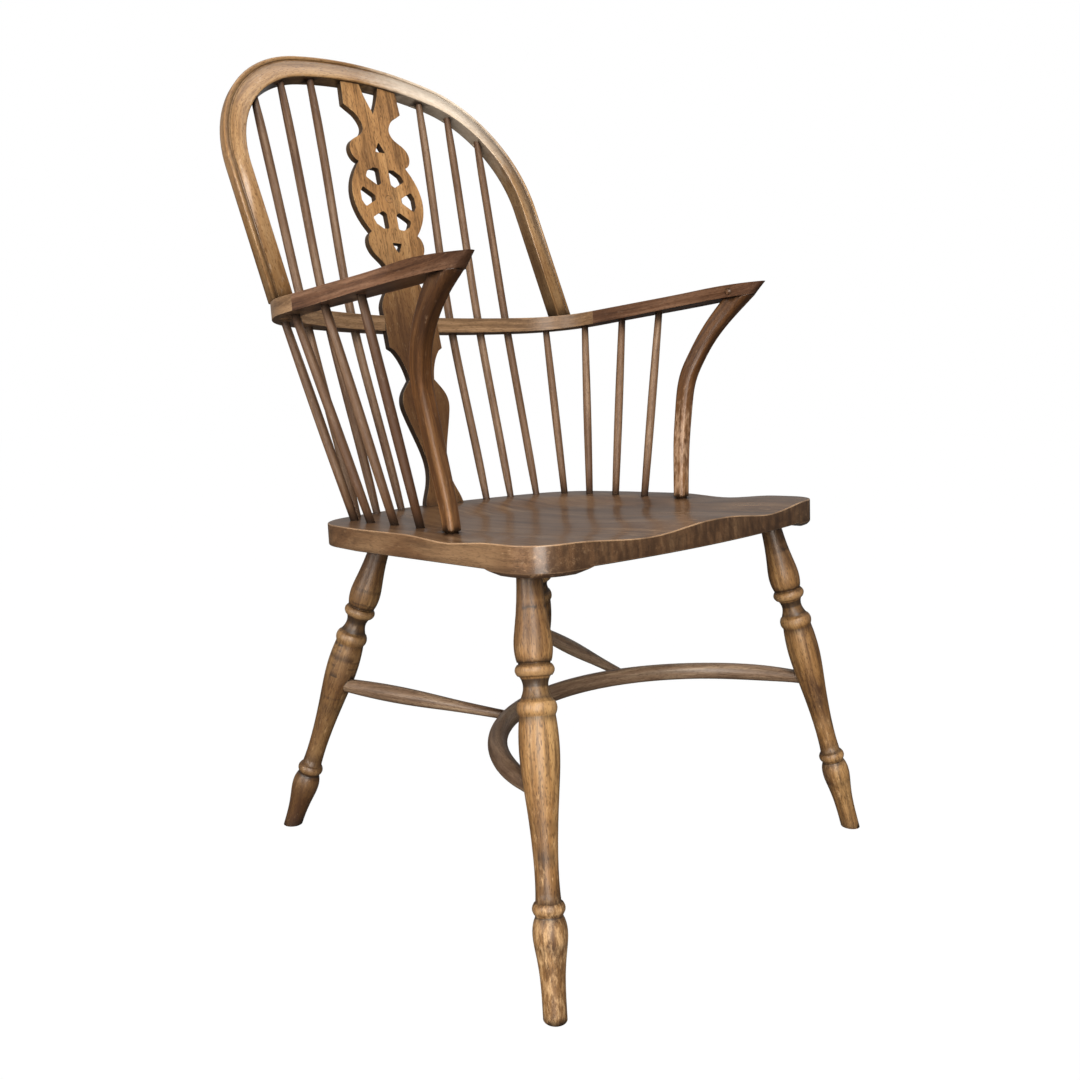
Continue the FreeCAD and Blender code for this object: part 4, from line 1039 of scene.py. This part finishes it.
@dataclass(frozen=True)
class SoftLamp:
    """A soft square lamp that faces the middle of the chair; its side is in metres, its power in watts."""

    WARM: ClassVar[Colour] = (1.0, 0.955, 0.89)
    MIDDLE: ClassVar[Place] = (0.0, 0.0, 0.55)

    name: str
    place: Place
    side: float
    power: float

    def hang(self) -> None:
        """Hang the lamp in its place."""
        lamp = bpy.data.lights.new(self.name, "AREA")
        lamp.size = self.side
        lamp.energy = self.power
        lamp.color = self.WARM
        holder = bpy.data.objects.new(self.name, lamp)
        holder.location = self.place
        aim = Vector(self.MIDDLE) - Vector(self.place)
        holder.rotation_euler = aim.to_track_quat("-Z", "Y").to_euler()
        bpy.context.scene.collection.objects.link(holder)


@dataclass
class Studio:
    """The pale floor, the soft lamps and the camera of the photograph.

    Lengths are in metres and turns in degrees, and the lens and its sensor are in millimetres.
    """

    floor_half: float = 8.0
    floor_tone: float = 0.1
    floor_glow: float = 0.94
    sky_strength: float = 0.13
    sky_reflection: float = 0.24
    backdrop: Colour = (1.0, 1.0, 1.0)
    camera_place: Place = (-0.94433, -0.95511, 0.62888)
    heading: float = 45.476
    tilt: float = -9.843
    roll: float = -0.046
    lens: float = 33.82
    sensor_width: float = 36.0
    lamps: tuple[SoftLamp, ...] = (
        SoftLamp("key", (-1.5, -2.1, 2.5), 1.6, 94.0),
        SoftLamp("low", (-1.9, -1.9, 0.7), 1.2, 50.0),
        SoftLamp("over", (0.7, 0.5, 2.9), 2.2, 24.0),
        SoftLamp("side", (-2.6, 0.1, 1.2), 1.4, 42.0),
    )

    def build(self) -> None:
        """Make the floor, sky, lamps and camera."""
        self._floor()
        self._sky()
        for lamp in self.lamps:
            lamp.hang()
        self._camera()

    def _floor(self) -> None:
        """Make the floor, which the camera sees white and which gives the chair little light back."""
        shape = bmesh.new()
        bmesh.ops.create_grid(shape, x_segments=1, y_segments=1, size=self.floor_half)
        mesh = bpy.data.meshes.new("floor")
        shape.to_mesh(mesh)
        shape.free()
        floor = bpy.data.objects.new("floor", mesh)
        bpy.context.scene.collection.objects.link(floor)
        material = bpy.data.materials.new("pale_floor")
        material.use_nodes = True
        nodes, links = material.node_tree.nodes, material.node_tree.links
        nodes.clear()
        path = nodes.new("ShaderNodeLightPath")
        share = nodes.new("ShaderNodeMath")
        share.operation = "MULTIPLY"
        share.inputs[1].default_value = self.floor_glow
        links.new(path.outputs["Is Camera Ray"], share.inputs[0])
        plain = nodes.new("ShaderNodeBsdfDiffuse")
        plain.inputs["Color"].default_value = (*(self.floor_tone,) * 3, 1.0)
        glow = nodes.new("ShaderNodeEmission")
        glow.inputs["Color"].default_value = (*self.backdrop, 1.0)
        glow.inputs["Strength"].default_value = 1.0 / self.floor_glow
        mixed = nodes.new("ShaderNodeMixShader")
        links.new(share.outputs[0], mixed.inputs[0])
        links.new(plain.outputs[0], mixed.inputs[1])
        links.new(glow.outputs[0], mixed.inputs[2])
        output = nodes.new("ShaderNodeOutputMaterial")
        links.new(mixed.outputs[0], output.inputs["Surface"])
        mesh.materials.append(material)

    def _sky(self) -> None:
        """Make an even sky that is white to the camera and dimmer in reflections."""
        world = bpy.data.worlds.new("sky")
        bpy.context.scene.world = world
        world.use_nodes = True
        nodes, links = world.node_tree.nodes, world.node_tree.links
        nodes.clear()
        path = nodes.new("ShaderNodeLightPath")
        reflected = nodes.new("ShaderNodeMapRange")
        reflected.inputs["To Min"].default_value = self.sky_strength
        reflected.inputs["To Max"].default_value = self.sky_reflection
        links.new(path.outputs["Is Glossy Ray"], reflected.inputs["Value"])
        strength = nodes.new("ShaderNodeMath")
        strength.operation = "MAXIMUM"
        links.new(path.outputs["Is Camera Ray"], strength.inputs[0])
        links.new(reflected.outputs[0], strength.inputs[1])
        light = nodes.new("ShaderNodeBackground")
        light.inputs["Color"].default_value = (*self.backdrop, 1.0)
        links.new(strength.outputs[0], light.inputs["Strength"])
        output = nodes.new("ShaderNodeOutputWorld")
        links.new(light.outputs[0], output.inputs["Surface"])

    def _camera(self) -> None:
        """Set up the camera where the photograph was taken from."""
        view = bpy.data.cameras.new("camera")
        view.lens = self.lens
        view.sensor_width = self.sensor_width
        holder = bpy.data.objects.new("camera", view)
        holder.location = self.camera_place
        holder.rotation_mode = "XYZ"
        turns = (90.0 + self.tilt, self.roll, -self.heading)
        holder.rotation_euler = [math.radians(turn) for turn in turns]
        bpy.context.scene.collection.objects.link(holder)
        bpy.context.scene.camera = holder


def main() -> None:
    """Load the frame, dress every piece and set up the studio."""
    logging.basicConfig(level=logging.INFO, format="%(name)s: %(message)s")
    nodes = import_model()["nodes"]
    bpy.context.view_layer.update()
    materials = {slot: WoodShader(finish).build() for slot, finish in Palette.finishes().items()}
    groups: list[SubAssembly] = [
        SaddledSeat(), TurnedLegs(), Stretchers(), ArmRail(), BackHoop(), WheelSplat(), Spindles(),
    ]
    for group in groups:
        for piece in group.pieces():
            piece.build(nodes, materials)
    Studio().build()
    bpy.context.scene.view_settings.view_transform = "Standard"


if __name__ == "__main__":
    main()
